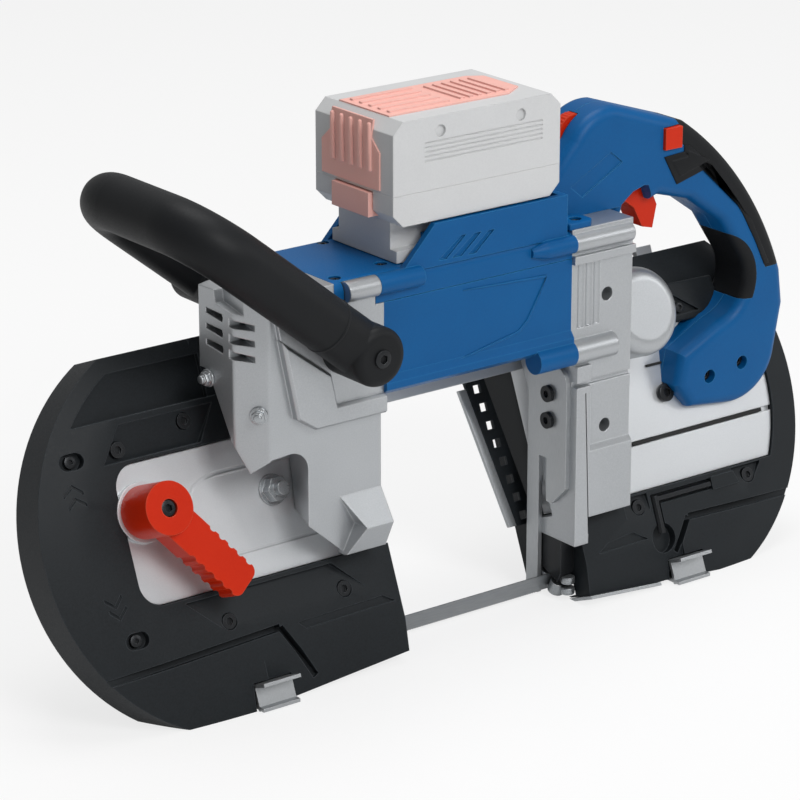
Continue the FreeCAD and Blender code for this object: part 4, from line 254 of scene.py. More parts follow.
# places to build at: z points out of the face, and every measure is in mm
def facing(spot, out, turn=0.0):
    aim = Vector(out).to_track_quat("Z", "Y").to_matrix().to_4x4()
    return Matrix.Translation(Vector(spot) * mm) @ aim @ Matrix.Rotation(math.radians(turn), 4, "Z")


def onDeck(x, u, n):
    return deckMatrix @ Matrix.Translation(Vector((x, u, n)) * mm)


def onNearFace(level):
    return Matrix.Translation((0, level * mm, 0)) @ Matrix.Rotation(math.radians(90), 4, "X")


def onFarFace(level):       # read from behind, so x runs back
    return (Matrix.Translation((0, level * mm, 0)) @ Matrix.Rotation(math.radians(180), 4, "Z")
            @ Matrix.Rotation(math.radians(90), 4, "X"))


def onFrontEnd(level):      # x runs across to the near side, y up
    return Matrix(((0, 0, -1, level * mm), (-1, 0, 0, 0), (0, 1, 0, 0), (0, 0, 0, 1)))


def takeUp(piece):
    bpy.ops.object.select_all(action="DESELECT")
    piece.select_set(True)
    bpy.context.view_layer.objects.active = piece


def putAt(piece, matrix):
    piece.matrix_world = matrix
    takeUp(piece)
    bpy.ops.object.transform_apply(location=True, rotation=True, scale=True)
    return piece


# a plate of any outline: points are (x, y) or (x, y, floor), raised from the floor by the height
def slab(name, outline, floor, height, matrix=None):
    bpy.ops.object.select_all(action="DESELECT")
    bpy.ops.mesh.primitive_circle_add(vertices=len(outline), radius=mm, fill_type="NGON")
    piece = bpy.context.active_object
    piece.name = name
    for corner, point in zip(piece.data.vertices, outline):
        corner.co = Vector((point[0], point[1], point[2] if len(point) > 2 else floor)) * mm
    bpy.ops.object.mode_set(mode="EDIT")
    bpy.ops.mesh.select_all(action="SELECT")
    bpy.ops.mesh.extrude_region_move(TRANSFORM_OT_translate={"value": (0, 0, height * mm)})
    bpy.ops.mesh.select_all(action="SELECT")
    bpy.ops.mesh.normals_make_consistent(inside=False)
    bpy.ops.object.mode_set(mode="OBJECT")
    return putAt(piece, matrix) if matrix else piece


# a straight bar between two opposite corners
def bar(name, low, high, floor, height, matrix):
    return slab(name, [low, (high[0], low[1]), high, (low[0], high[1])], floor, height, matrix)


# a drum standing on its floor, for screw heads, wells and collars
def drum(name, radius, floor, height, matrix=None, sides=32):
    bpy.ops.object.select_all(action="DESELECT")
    bpy.ops.mesh.primitive_cylinder_add(vertices=sides, radius=radius * mm, depth=height * mm,
                                        location=(0, 0, (floor + height / 2) * mm))
    piece = bpy.context.active_object
    piece.name = name
    bpy.ops.object.transform_apply(location=True)
    return putAt(piece, matrix) if matrix else piece


# outline of a line of even width along a run of points; a small endShare draws its ends in
def ribbon(points, width, endShare=1.0):
    run = [Vector(p) for p in points]
    last = len(run) - 1
    left, right = [], []
    for i, point in enumerate(run):
        ahead = (run[min(i + 1, last)] - run[max(i - 1, 0)]).normalized()
        across = Vector((-ahead.y, ahead.x)) * width / 2 * (endShare if i in (0, last) else 1.0)
        left.append(tuple(point + across))
        right.append(tuple(point - across))
    return left + right[::-1]


def joinAll(name, parts):
    bpy.ops.object.select_all(action="DESELECT")
    for part in parts:
        part.select_set(True)
    bpy.context.view_layer.objects.active = parts[0]
    if len(parts) > 1:
        bpy.ops.object.join()
    parts[0].name = name
    bpy.ops.object.transform_apply(location=True, rotation=True, scale=True)
    return parts[0]


def useModifier(piece, kind, settings):
    takeUp(piece)
    tool = piece.modifiers.new("step", kind)
    for name, value in settings.items():
        setattr(tool, name, value)
    bpy.ops.object.modifier_apply(modifier=tool.name)
    return piece


def breakEdges(piece, width, segments=2, limit=30):
    return useModifier(piece, "BEVEL", {"width": width * mm, "segments": segments, "limit_method": "ANGLE",
                                        "angle_limit": math.radians(limit)})


# cutters rise from their floor past the face they open; each look gives that height as its cut
def cutOut(piece, cutter):
    useModifier(piece, "BOOLEAN", {"operation": "DIFFERENCE", "solver": "EXACT", "use_self": True,
                                   "object": cutter})
    bpy.data.objects.remove(cutter)
    return piece


# a CAD node's own shape, merged, to be cut further and shown in its place
def nodeCopy(nodeName, name):
    piece = bpy.data.objects.new(name, nodes[nodeName].data.copy())
    scene.collection.objects.link(piece)
    takeUp(piece)
    bpy.ops.object.mode_set(mode="EDIT")
    bpy.ops.mesh.select_all(action="SELECT")
    bpy.ops.mesh.remove_doubles(threshold=weld * mm)
    bpy.ops.mesh.customdata_custom_splitnormals_clear()
    bpy.ops.object.mode_set(mode="OBJECT")
    return piece


def copiesAt(name, master, matrices):
    parts = []
    for matrix in matrices:
        part = bpy.data.objects.new(name, master.data.copy())
        scene.collection.objects.link(part)
        part.matrix_world = matrix
        parts.append(part)
    bpy.data.objects.remove(master)
    return joinAll(name, parts)


def settle(piece, body, finish, sharp=30):
    takeUp(piece)
    piece.data.materials.clear()
    piece.data.materials.append(finish)
    for face in piece.data.polygons:
        face.material_index = 0
    bpy.ops.object.shade_smooth_by_angle(angle=math.radians(sharp))
    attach(piece, body)


def standFor(nodeName, piece, body, finish):
    settle(piece, body, finish)
    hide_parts(nodeName)


# cap screw: a drum with a broken top edge and a hexagon socket, as shares of its radius and height
capShape = {"edge": 0.12, "socketFloor": 0.45}


def socketHead(look):
    head = breakEdges(drum("head", look["radius"], 0, look["height"]), capShape["edge"] * look["radius"])
    floor = capShape["socketFloor"] * look["height"]
    return cutOut(head, drum("socket", look["socket"], floor, look["height"], sides=6))


def placeScrews(name, body, look, spots):
    settle(copiesAt(name, socketHead(look), spots), body, blackOxide)


# front bumper: screw pockets deepest along the window, two slotted screw seats, feed arrows and a long slot
frontMarks = {
    "pockets": (((-226.5, 154.3, -3.6), (-212.0, 174.5, -0.7), (-150.0, 174.5, -0.7), (-163.0, 154.3, -3.6)),
                ((-196.5, 70.0, -3.6), (-97.0, 70.0, -3.6), (-77.0, 51.0, 0.05), (-176.0, 51.0, 0.05))),
    "pocketCut": 9.0,
    "seats": (((-244.5, 160.6), -6.0), ((-230.8, 57.5), -4.4)),
    "seatHalf": 2.6, "seatRadius": 4.6, "seatCut": 12.0,
    "screw": {"radius": 3.6, "height": 2.4, "socket": 1.7},
    "arrows": (((-254.0, 144.0), (-248.0, 148.5), (-242.6, 143.8)),
               ((-253.0, 137.0), (-248.0, 141.6), (-242.4, 137.2)),
               ((-245.5, 82.0), (-239.7, 77.2), (-234.6, 82.6)),
               ((-244.0, 75.6), (-238.6, 70.6), (-233.2, 76.0))),
    "arrowWidth": 2.0, "arrowDepth": 0.9,
    "slot": ((-127.7, 42.8), (-68.0, 44.2), (-60.2, 39.6), (-122.7, 38.3)), "slotDepth": 1.3, "markCut": 6.0,
}


# the bumper's face falls away towards its outer edge
def bumperFace(x, u):
    reach = deck["flatFoot"] - u
    if abs(x) > deck["endX"]:
        reach = math.hypot(abs(x) - deck["endX"], u - deck["ringRise"]) - deck["flatRadius"]
    return -deck["slopeDrop"] * max(0.0, min(1.0, reach / deck["slopeWidth"]))


def feedArrow(points, look):
    run = [Vector(p) for p in points]
    shift = ((run[0] + run[2]) / 2 - run[1]).normalized() * look["arrowWidth"]
    outline = [tuple(p) for p in run] + [tuple(p + shift) for p in reversed(run)]
    outline = [(x, u, bumperFace(x, u) - look["arrowDepth"]) for x, u in outline]
    return slab("arrow", outline, 0, look["markCut"], deckMatrix)


def screwSeat(middle, floor, look):
    outline = []
    for side in (1, -1):
        for step in range(roundSteps + 1):
            turn = math.radians(-90 + 180 * step / roundSteps)
            outline.append((middle[0] + side * (look["seatHalf"] + look["seatRadius"] * math.cos(turn)),
                            middle[1] + side * look["seatRadius"] * math.sin(turn)))
    return slab("seat", outline, floor, look["seatCut"], deckMatrix)


def dressFrontBumper(look):
    bumper = nodeCopy("front_bumper", "frontBumperMoulding")
    cutters = [slab("pocket", outline, 0, look["pocketCut"], deckMatrix) for outline in look["pockets"]]
    cutters += [screwSeat(middle, floor, look) for middle, floor in look["seats"]]
    cutters += [feedArrow(points, look) for points in look["arrows"]]
    cutters.append(slab("slot", look["slot"], -look["slotDepth"], look["markCut"], deckMatrix))
    for cutter in cutters:
        cutOut(bumper, cutter)
    standFor("front_bumper", bumper, "frame", charcoalNylon)
    spots = [onDeck(middle[0], middle[1], floor) for middle, floor in look["seats"]]
    placeScrews("bumperSeatScrews", "frame", look["screw"], spots)


dressFrontBumper(frontMarks)
print("front bumper dressed")

# rear bumper: wedge pockets at the two screws and a flat scoop above the foot
rearMarks = {
    "pockets": (((205.0, 59.6, -3.4), (230.0, 59.6, -3.4), (220.0, 48.5, 0.05), (209.0, 48.5, 0.05)),
                ((117.5, 59.2, -3.0), (136.5, 59.2, -3.0), (136.5, 46.5, 0.05), (117.5, 46.5, 0.05))),
    "pocketCut": 9.0,
    "scoop": ((91.0, 31.8), (99.0, 36.4), (119.2, 38.5), (130.0, 32.2)), "scoopDepth": 1.3, "scoopCut": 6.0,
}


def dressRearBumper(look):
    bumper = nodeCopy("rear_bumper", "rearBumperMoulding")
    for outline in look["pockets"]:
        cutOut(bumper, slab("pocket", outline, 0, look["pocketCut"], deckMatrix))
    cutOut(bumper, slab("scoop", look["scoop"], -look["scoopDepth"], look["scoopCut"], deckMatrix))
    standFor("rear_bumper", bumper, "frame", charcoalNylon)


dressRearBumper(rearMarks)
print("rear bumper dressed")

# zinc flange nuts that hold the bracket's nose to the deck ribs, with the ends of their studs showing
noseNuts = {"spots": (((-150.5, -36.0, 166.8), (-0.668, -0.745, 0), 10),
                      ((-162.3, -5.7, 183.1), (-0.9963, -0.0859, 0), 24)),
            "across": 7.0, "height": 4.6, "corner": 0.6, "topLimit": 80, "flange": 5.2, "flangeHeight": 1.6,
            "rim": 0.5, "stud": 2.4, "studProud": 2.0}


def flangeNut(look):
    washer = breakEdges(drum("washer", look["flange"], 0, look["flangeHeight"], sides=36), look["rim"])
    nut = breakEdges(drum("nut", look["across"] / math.sqrt(3), 0, look["height"], sides=6), look["corner"],
                     limit=look["topLimit"])       # only its top and foot, not its six corners
    end = breakEdges(drum("studEnd", look["stud"], 0, look["height"] + look["studProud"], sides=24),
                     look["rim"])
    return joinAll("flangeNut", [washer, nut, end])


nuts = copiesAt("noseNuts", flangeNut(noseNuts), [facing(*spot) for spot in noseNuts["spots"]])
settle(nuts, "frame", zincSteel)
print("bracket nuts made")

# black cap screws that stand on open faces: lever hub, bail foot and the gear end of the deck
capScrews = {
    "leverScrew": {"body": "lever", "spot": onDeck(-208.5, 124.5, 22.3),
                   "radius": 4.7, "height": 4.0, "socket": 2.5},
    "bailFootScrew": {"body": "frame", "spot": facing((-96.0, -74.4, 199.0), nearSide),
                      "radius": 5.2, "height": 3.0, "socket": 2.8},
    "deckScrew": {"body": "frame", "spot": onDeck(169.2, 115.0, -3.0),
                  "radius": 5.6, "height": 4.0, "socket": 2.9},
}
for screwName, screw in capScrews.items():
    placeScrews(screwName, screw["body"], screw, [screw["spot"]])
print("cap screws made")

# bail handle: the grip sleeve ends in a raised ring, and a parting ridge runs up the near arm
bailTrim = {"foot": (-96.0, -59.454, 199.0), "rise": (-0.7808, 0.0, 0.6247), "tube": 16.0,
            "ringAt": 31.0, "ringWidth": 1.6, "ringProud": 0.35, "ringEdge": 0.3, "ringSides": 64,
            "ridgeFrom": 32.0, "ridgeTo": 100.0, "ridgeWidth": 0.9, "ridgeCrest": 0.6, "ridgeProud": 0.3,
            "ridgeSunk": 0.6, "ridgeTurn": 205.0}


def makeBailTrim(look):
    rise = Vector(look["rise"])
    foot = Vector(look["foot"])
    ring = drum("bailRing", look["tube"] + look["ringProud"], 0, look["ringWidth"],
                facing(foot + rise * look["ringAt"], rise), look["ringSides"])
    breakEdges(ring, look["ringEdge"])
    half = look["ridgeWidth"] / 2
    crest = half * look["ridgeCrest"]
    low, high = look["tube"] - look["ridgeSunk"], look["tube"] + look["ridgeProud"]
    ridge = slab("bailRidge", [(low, -half), (high, -crest), (high, crest), (low, half)], look["ridgeFrom"],
                 look["ridgeTo"] - look["ridgeFrom"], facing(foot, rise, look["ridgeTurn"]))
    settle(joinAll("bailTrim", [ring, ridge]), "frame", softGrip)


makeBailTrim(bailTrim)
print("bail trim made")

# top cover: screw wells in its flat top and three slanted gills in the bay wall
coverCuts = {
    "wells": ((-62.0, 25.0), (-60.4, -27.3), (-97.0, -33.5)), "wellTop": 235.0, "wellRadius": 3.7,
    "wellDepth": 2.3, "screw": {"radius": 3.0, "height": 1.6, "socket": 1.5}, "screwTurn": 15,
    "gills": (((-31.5, 235.4), (-26.0, 234.8), (-12.0, 246.8), (-15.5, 246.8)),
              ((-22.0, 234.9), (-15.0, 234.7), (-1.0, 246.4), (-6.0, 246.4)),
              ((-10.5, 234.7), (-5.0, 234.5), (8.5, 246.2), (4.0, 246.2))),
    "wall": -42.954, "gillDepth": 1.4, "cut": 6.0,
}


def dressTopCover(look):
    cover = nodeCopy("top_cover", "topCoverMoulding")
    floor = look["wellTop"] - look["wellDepth"]
    for x, y in look["wells"]:
        cutOut(cover, drum("well", look["wellRadius"], 0, look["cut"], facing((x, y, floor), up)))
    for outline in look["gills"]:
        cutOut(cover, slab("gill", outline, -look["gillDepth"], look["cut"], onNearFace(look["wall"])))
    standFor("top_cover", cover, "frame", blueNylon)
    spots = [facing((x, y, floor), up, look["screwTurn"]) for x, y in look["wells"]]
    placeScrews("coverScrews", "frame", look["screw"], spots)


dressTopCover(coverCuts)
print("top cover dressed")

# motor housing: a raised sweep on the near side, air slots on the far side
housingMarks = {
    "near": -42.954, "far": 33.046,
    "sweep": ((-27.3, 171.9), (26.4, 181.6), (33.6, 187.8), (46.4, 211.4), (-14.0, 214.4)),
    "width": 1.7, "endShare": 0.25, "sunk": 0.4, "proud": 0.7, "edge": 0.35,
    "slots": 8, "slotStart": -38.0, "slotPitch": 8.0, "slotWidth": 3.6, "slotLow": 172.0, "slotHigh": 206.0,
    "slotLean": 6.0, "slotDepth": 1.8, "slotCut": 6.0,
}


def dressMotorHousing(look):
    sweep = slab("housingSweep", ribbon(look["sweep"], look["width"], look["endShare"]), -look["sunk"],
                 look["proud"] + look["sunk"], onNearFace(look["near"]))
    breakEdges(sweep, look["edge"])
    settle(sweep, "frame", blueNylon)
    housing = nodeCopy("motor_housing", "motorHousingMoulding")
    low, high, lean = look["slotLow"], look["slotHigh"], look["slotLean"]
    for step in range(look["slots"]):
        x = -(look["slotStart"] + look["slotPitch"] * step)
        end = x + look["slotWidth"]
        cutOut(housing, slab("airSlot", [(x, low), (end, low), (end + lean, high), (x + lean, high)],
                             -look["slotDepth"], look["slotCut"], onFarFace(look["far"])))
    standFor("motor_housing", housing, "frame", blueNylon)


dressMotorHousing(housingMarks)
print("motor housing dressed")

# handle shells: two deep screw wells in the foot, a bare sunk field below the dial, a notch over the trigger
handleCuts = {
    "near": -21.954, "far": 12.046,
    "wells": ((195.5, 114.1), (221.9, 117.8)), "wellRadius": 4.3, "wellDepth": 7.0, "wellCut": 20.0,
    "screw": {"radius": 3.7, "height": 3.0, "socket": 1.9},
    "field": ((82.0, 253.0), (90.9, 245.6), (121.3, 262.0), (112.2, 269.4)), "fieldDepth": 0.8,
    "fieldCut": 8.0,
    "notch": ((121.0, 236.0), (130.0, 242.5), (138.5, 245.0), (142.0, 244.5), (151.0, 222.0), (150.0, 208.0),
              (118.0, 208.0)),
    "notchDepth": 10.5, "notchCut": 16.0,
}


def dressHandleShells(look):
    shell = nodeCopy("handle_near_shell", "handleNearMoulding")
    onNear = onNearFace(look["near"])
    for x, z in look["wells"]:
        cutOut(shell, drum("well", look["wellRadius"], -look["wellDepth"], look["wellCut"],
                           facing((x, look["near"], z), nearSide)))
    cutOut(shell, slab("field", look["field"], -look["fieldDepth"], look["fieldCut"], onNear))
    cutOut(shell, slab("notch", look["notch"], -look["notchDepth"], look["notchCut"], onNear))
    standFor("handle_near_shell", shell, "frame", blueNylon)
    shell = nodeCopy("handle_far_shell", "handleFarMoulding")
    notch = [(-x, z) for x, z in look["notch"]][::-1]
    cutOut(shell, slab("notch", notch, -look["notchDepth"], look["notchCut"], onFarFace(look["far"])))
    standFor("handle_far_shell", shell, "frame", blueNylon)
    spots = [facing((x, look["near"] + look["wellDepth"], z), nearSide) for x, z in look["wells"]]
    placeScrews("handleScrews", "frame", look["screw"], spots)


dressHandleShells(handleCuts)
print("handle shells dressed")

# battery: a salmon second shot over the front and along the top, ribbed for the fingers
packShot = {
    "front": -62.0, "sunk": 0.4, "proud": 1.0,
    "outline": ((14.0, 317.0), (-24.0, 317.0), (-22.0, 306.5), (-29.5, 299.0), (-29.5, 277.5), (24.0, 277.5),
                (24.0, 297.0), (15.5, 304.5)),
    "ribs": (13.0, 4.5, -4.0, -12.5, -21.0), "ribWidth": 4.2, "ribTaper": 0.7, "ribLow": 287.0,
    "ribHigh": 315.0, "ribProud": 2.6, "ribEdge": 1.3, "ribSegments": 3,
    "top": 318.0, "topFrom": -55.0, "topTo": 44.0, "topNear": -28.0, "topFar": 18.0, "topProud": 0.8,
    "nearCorner": (14.0, 9.0), "farCorner": (9.0, 6.0), "topRibFloor": 0.4, "topRibHeight": 1.4,
    "lengthRibs": 5, "lengthFrom": -51.0, "lengthTo": -9.0, "lengthInset": 6.0, "lengthWidth": 2.6,
    "crossRibs": 6, "crossFrom": -1.0, "crossPitch": 6.4, "crossWidth": 3.0, "crossNear": -23.0,
    "crossFar": 11.0,
}


def makePackShot(look):
    onFront = onFrontEnd(look["front"])
    parts = [slab("packFront", [(-y, z) for y, z in look["outline"]], -look["sunk"],
                  look["proud"] + look["sunk"], onFront)]
    half, low, high = look["ribWidth"] / 2, look["ribLow"], look["ribHigh"]
    tip = half * look["ribTaper"]
    for y in look["ribs"]:
        rib = slab("rib", [(-y - half, low), (-y + half, low), (-y + tip, high), (-y - tip, high)], 0,
                   look["ribProud"], onFront)
        parts.append(breakEdges(rib, look["ribEdge"], look["ribSegments"]))
    atTop = Matrix.Translation((0, 0, look["top"] * mm))
    start, end, near, far = look["topFrom"], look["topTo"], look["topNear"], look["topFar"]
    (nearLong, nearWide), (farLong, farWide) = look["nearCorner"], look["farCorner"]
    parts.append(slab("packTop", [(start, near), (end - nearLong, near), (end, near + nearWide),
                                  (end, far - farWide), (end - farLong, far), (start, far)],
                      -look["sunk"], look["topProud"] + look["sunk"], atTop))
    half = look["lengthWidth"] / 2
    spread = far - near - 2 * look["lengthInset"]
    for step in range(look["lengthRibs"]):
        y = near + look["lengthInset"] + spread * step / (look["lengthRibs"] - 1)
        parts.append(bar("rib", (look["lengthFrom"], y - half), (look["lengthTo"], y + half),
                         look["topRibFloor"], look["topRibHeight"], atTop))
    for step in range(look["crossRibs"]):
        x = look["crossFrom"] + look["crossPitch"] * step
        parts.append(bar("rib", (x, look["crossNear"]), (x + look["crossWidth"], look["crossFar"]),
                         look["topRibFloor"], look["topRibHeight"], atTop))
    settle(joinAll("packSalmonShot", parts), "battery", salmonAbs)


makePackShot(packShot)

# battery side: two screw dimples and five pressed lines
packSide = {"face": -40.954, "dimples": ((-28.9, 309.0), (28.4, 309.0)), "dimpleRadius": 3.4,
            "dimpleDepth": 1.6, "dimpleCut": 6.0, "lines": 5, "lineTop": 303.0, "linePitch": 2.6,
            "lineFrom": -40.0, "lineTo": 44.0, "lineWidth": 0.8, "lineDepth": 0.5, "lineCut": 4.0}


def dressPackLid(look):
    lid = nodeCopy("battery_lid", "packLidMoulding")
    for x, z in look["dimples"]:
        cutOut(lid, drum("dimple", look["dimpleRadius"], -look["dimpleDepth"], look["dimpleCut"],
                         facing((x, look["face"], z), nearSide)))
    for step in range(look["lines"]):
        z = look["lineTop"] - look["linePitch"] * step
        cutOut(lid, bar("line", (look["lineFrom"], z), (look["lineTo"], z + look["lineWidth"]),
                        -look["lineDepth"], look["lineCut"], onNearFace(look["face"])))
    standFor("battery_lid", lid, "battery", paleAbs)


dressPackLid(packSide)
print("battery dressed")

# teeth along the lower edge of the blade's open stretch, at a real fourteen to the inch
teeth = {"from": -66.0, "to": 66.0, "pitch": 25.4 / 14, "height": 0.9, "rake": 0.25, "root": 1.2,
         "thickness": 0.6, "proud": 0.02, "edge": (-16.36, 3.46), "down": (0.391, -0.920)}


def makeTeeth(look):
    across, fall = look["down"]
    y, z = look["edge"]
    onEdge = Matrix(((1, 0, 0, 0), (0, across, -fall, y * mm), (0, fall, across, z * mm), (0, 0, 0, 1)))
    x = look["from"]
    outline = [(x, -look["root"])]
    while x < look["to"]:
        outline += [(x, 0.0), (x + look["pitch"] * look["rake"], look["height"])]
        x += look["pitch"]
    outline += [(x, 0.0), (x, -look["root"])]
    thick = look["thickness"] + 2 * look["proud"]
    row = slab("bladeTeeth", outline[::-1], -thick / 2, thick, onEdge)
    settle(row, "frame", stripSteel)


makeTeeth(teeth)
print("blade teeth made")

# knurled rim of the speed dial: square teeth, two points on each crest and two in each root
dialRim = {"spot": (95.0, -4.954, 281.0), "radius": 11.0, "crest": 0.4, "root": 0.05, "count": 30,
           "width": 6.0, "sharp": 20}


def makeDialRim(look):
    outline = []
    points = look["count"] * 4
    for step in range(points):
        turn = 2 * math.pi * step / points
        reach = look["radius"] + (look["crest"] if step % 4 < 2 else look["root"])
        outline.append((reach * math.cos(turn), reach * math.sin(turn)))
    rim = slab("dialKnurl", outline, -look["width"] / 2, look["width"], facing(look["spot"], nearSide))
    settle(rim, "dial", redNylon, look["sharp"])


makeDialRim(dialRim)
print("dial rim made")

# bright steel edge beside the perforated guard
edgeStrip = {"outline": ((44.5, 145.5), (50.0, 145.5), (63.9, 58.5), (58.4, 58.5)), "floor": -40.4,
             "thickness": 2.8, "edge": 0.4}
strip = slab("throatEdgeStrip", edgeStrip["outline"], edgeStrip["floor"], edgeStrip["thickness"], deckMatrix)
settle(breakEdges(strip, edgeStrip["edge"]), "frame", stopSteel)
print("throat strip made")

# soft pads on both flanks of the rear handle: a broad foot behind the button that runs out along the bow
gripPads = {
    "outline": ((169.0, 264.5), (169.2, 260.5), (153.5, 259.5), (163.8, 241.2), (191.4, 248.1),
                (203.0, 235.0), (218.5, 213.0), (229.0, 195.0), (237.5, 178.0), (241.5, 178.3),
                (225.5, 209.0), (209.5, 228.5), (182.0, 256.5), (173.5, 263.5)),
    "field": ((172.0, 260.8), (172.2, 257.0), (159.5, 256.2), (165.8, 246.0), (189.5, 252.2)),
    "near": -21.954, "far": 12.046, "sunk": 0.6, "proud": 0.8, "fieldProud": 1.3, "edge": 0.4,
}


def makeGripPads(look):
    for name, matrix, side in (("gripNearPad", onNearFace(look["near"]), 1),
                               ("gripFarPad", onFarFace(look["far"]), -1)):
        layers = []
        for outline, proud in ((look["outline"], look["proud"]), (look["field"], look["fieldProud"])):
            layer = slab("layer", [(side * x, z) for x, z in outline][::side], -look["sunk"],
                         proud + look["sunk"], matrix)
            layers.append(breakEdges(layer, look["edge"]))
        settle(joinAll(name, layers), "frame", softGrip)


makeGripPads(gripPads)
print("grip pads made")

# rear bumper: the corner that reaches in over the deck, with a triangular screw pocket
bumperCorner = {
    "outline": ((184.0, 179.5), (221.0, 178.5), (222.5, 168.0), (216.0, 157.5), (208.8, 154.7),
                (178.5, 155.1), (182.0, 166.0)),
    "low": -4.0, "high": 4.5, "edge": 1.2, "edgeSegments": 3,
    "pocket": ((187.5, 172.0), (206.0, 159.4), (182.8, 158.8)), "pocketDepth": 2.5, "pocketCut": 8.0,
    "screwAt": (191.6, 163.4), "screw": {"radius": 3.3, "height": 2.0, "socket": 1.7},
}


def makeBumperCorner(look):
    floor = look["high"] - look["pocketDepth"]
    corner = slab("rearBumperCorner", look["outline"], look["low"], look["high"] - look["low"], deckMatrix)
    breakEdges(corner, look["edge"], look["edgeSegments"])
    cutOut(corner, slab("pocket", look["pocket"], floor, look["pocketCut"], deckMatrix))
    settle(corner, "frame", charcoalNylon)
    placeScrews("cornerScrew", "frame", look["screw"], [onDeck(*look["screwAt"], floor)])


makeBumperCorner(bumperCorner)
print("rear bumper corner made")

# black rubber strips that paint shade lines: one pressed into the groove of the rear panel as its painted
# shade, a short one beside the gear cover
panelShadeStrips = {"strips": (((137.0, 88.3), (243.0, 90.7), -4.2, 1.2),
                        ((160.0, 132.6), (184.0, 134.2), -2.6, 1.1)),
             "edge": 0.4}
strips = [breakEdges(bar("strip", *strip, deckMatrix), panelShadeStrips["edge"]) for strip in panelShadeStrips["strips"]]
settle(joinAll("panelShadeStrips", strips), "frame", tyreRubber)
print("panel shade strips made")

# parting groove down the post, left by the two halves of its casting die
postSeam = {"face": -42.954, "outline": ((75.2, 135.0), (76.1, 135.0), (80.1, 46.0), (79.2, 46.0)),
            "depth": 0.9, "cut": 6.0}
post = nodeCopy("rear_bracket", "rearBracketCasting")
cutOut(post, slab("seam", postSeam["outline"], -postSeam["depth"], postSeam["cut"],
                  onNearFace(postSeam["face"])))
standFor("rear_bracket", post, "frame", castSilver)
print("post seam cut")

# screw lug of the top cover over the post
coverLug = {"outline": ((64.5, -42.5), (80.0, -42.5), (84.0, -38.5), (84.0, -29.5), (80.0, -25.5),
                        (64.5, -25.5)),
            "base": 234.6, "height": 4.0, "edge": 0.9, "edgeSegments": 3,
            "hole": (74.9, -34.2), "holeRadius": 3.8, "holeFloor": 1.0, "holeCut": 8.0,
            "screw": {"radius": 3.2, "height": 1.8, "socket": 1.6}}


def makeCoverLug(look):
    lug = slab("topCoverLug", look["outline"], look["base"], look["height"])
    breakEdges(lug, look["edge"], look["edgeSegments"])
    floor = facing((*look["hole"], look["base"] + look["holeFloor"]), up)
    cutOut(lug, drum("hole", look["holeRadius"], 0, look["holeCut"], floor))
    settle(lug, "frame", blueNylon)
    placeScrews("lugScrew", "frame", look["screw"], [floor])


makeCoverLug(coverLug)
print("cover lug made")

# wheel covers: a raised border and stiffening ribs moulded on the back of each
coverRibs = {"covers": (("front_cover", "frontCoverRibs", -155.0, -66.0),
                        ("rear_cover", "rearCoverRibs", 155.0, 90.0)),
             "rise": 99.5, "radius": 88.0, "low": 36.0, "high": 184.0, "back": -62.0, "sunk": 0.6,
             "proud": 1.3, "border": 3.0, "cutPast": 2.0, "ribs": 7, "ribLow": 60.0, "ribPitch": 17.0,
             "ribWidth": 3.2, "ribInset": 14.0, "ribEdge": 0.6, "steps": 40}


def coverOutline(look, middle, end, inset):
    side = 1 if end > middle else -1
    reach = look["radius"] - inset
    low, high = look["low"] + inset, look["high"] - inset
    run = []
    for step in range(look["steps"] + 1):
        turn = math.radians(90 + 180 * step / look["steps"])
        u = min(max(look["rise"] + reach * math.sin(turn), low), high)
        run.append((middle + side * reach * math.cos(turn), u))
    stop = end - side * inset
    return run + [(stop, low), (stop, high)]


def makeCoverRibs(look):
    floor, height = look["back"] - look["proud"], look["proud"] + look["sunk"]
    reach = look["radius"] - look["ribInset"]
    for body, name, middle, end in look["covers"]:
        side = 1 if end > middle else -1
        border = slab("border", coverOutline(look, middle, end, 0), floor, height, deckMatrix)
        inside = coverOutline(look, middle, end, look["border"])
        cutOut(border, slab("inside", inside, floor - look["cutPast"], height + 2 * look["cutPast"],
                            deckMatrix))
        parts = [border]
        for step in range(look["ribs"]):
            u = look["ribLow"] + look["ribPitch"] * step - look["ribWidth"] / 2
            far = middle - side * math.sqrt(max(reach ** 2 - (u - look["rise"]) ** 2, 0))
            near = end - side * look["ribInset"]
            rib = bar("rib", (far, u), (near, u + look["ribWidth"]), floor, height, deckMatrix)
            parts.append(breakEdges(rib, look["ribEdge"]))
        settle(joinAll(name, parts), body, charcoalNylon)


makeCoverRibs(coverRibs)
print("cover ribs made")

# bright end caps of the guide rollers' spindles, one above the other on the near face of the guide
rollerCaps = {"spots": ((75.4, -32.6, 4.6), (75.4, -32.6, 11.4)), "radius": 4.3, "height": 4.4, "rim": 0.7,
              "sides": 40}


def makeRollerCaps(look):
    caps = []
    for spot in look["spots"]:
        cap = drum("cap", look["radius"], 0, look["height"], facing(spot, up), look["sides"])
        caps.append(breakEdges(cap, look["rim"]))
    settle(joinAll("rollerCaps", caps), "frame", zincSteel)


makeRollerCaps(rollerCaps)
print("roller caps made")

# front bracket: taller louvres, wide at the middle bar and narrow at the corners
louvres = {"lows": (217.0, 208.0, 199.0), "floor": -151.5, "cut": 25.0,
           "near": ((-23.45, -0.2), (-23.45, 5.0), (-36.45, 0.9), (-36.45, -2.3)),
           "far": ((-3.95, 3.4), (-3.95, 6.3), (-17.95, 5.4), (-17.95, 0.9))}


def dressFrontBracket(look):
    bracket = nodeCopy("front_bracket", "frontBracketCasting")
    for low in look["lows"]:
        for side in ("near", "far"):
            cutOut(bracket, slab("louvre", [(-y, low + z) for y, z in look[side]], 0, look["cut"],
                                 onFrontEnd(look["floor"])))
    standFor("front_bracket", bracket, "frame", castSilver)


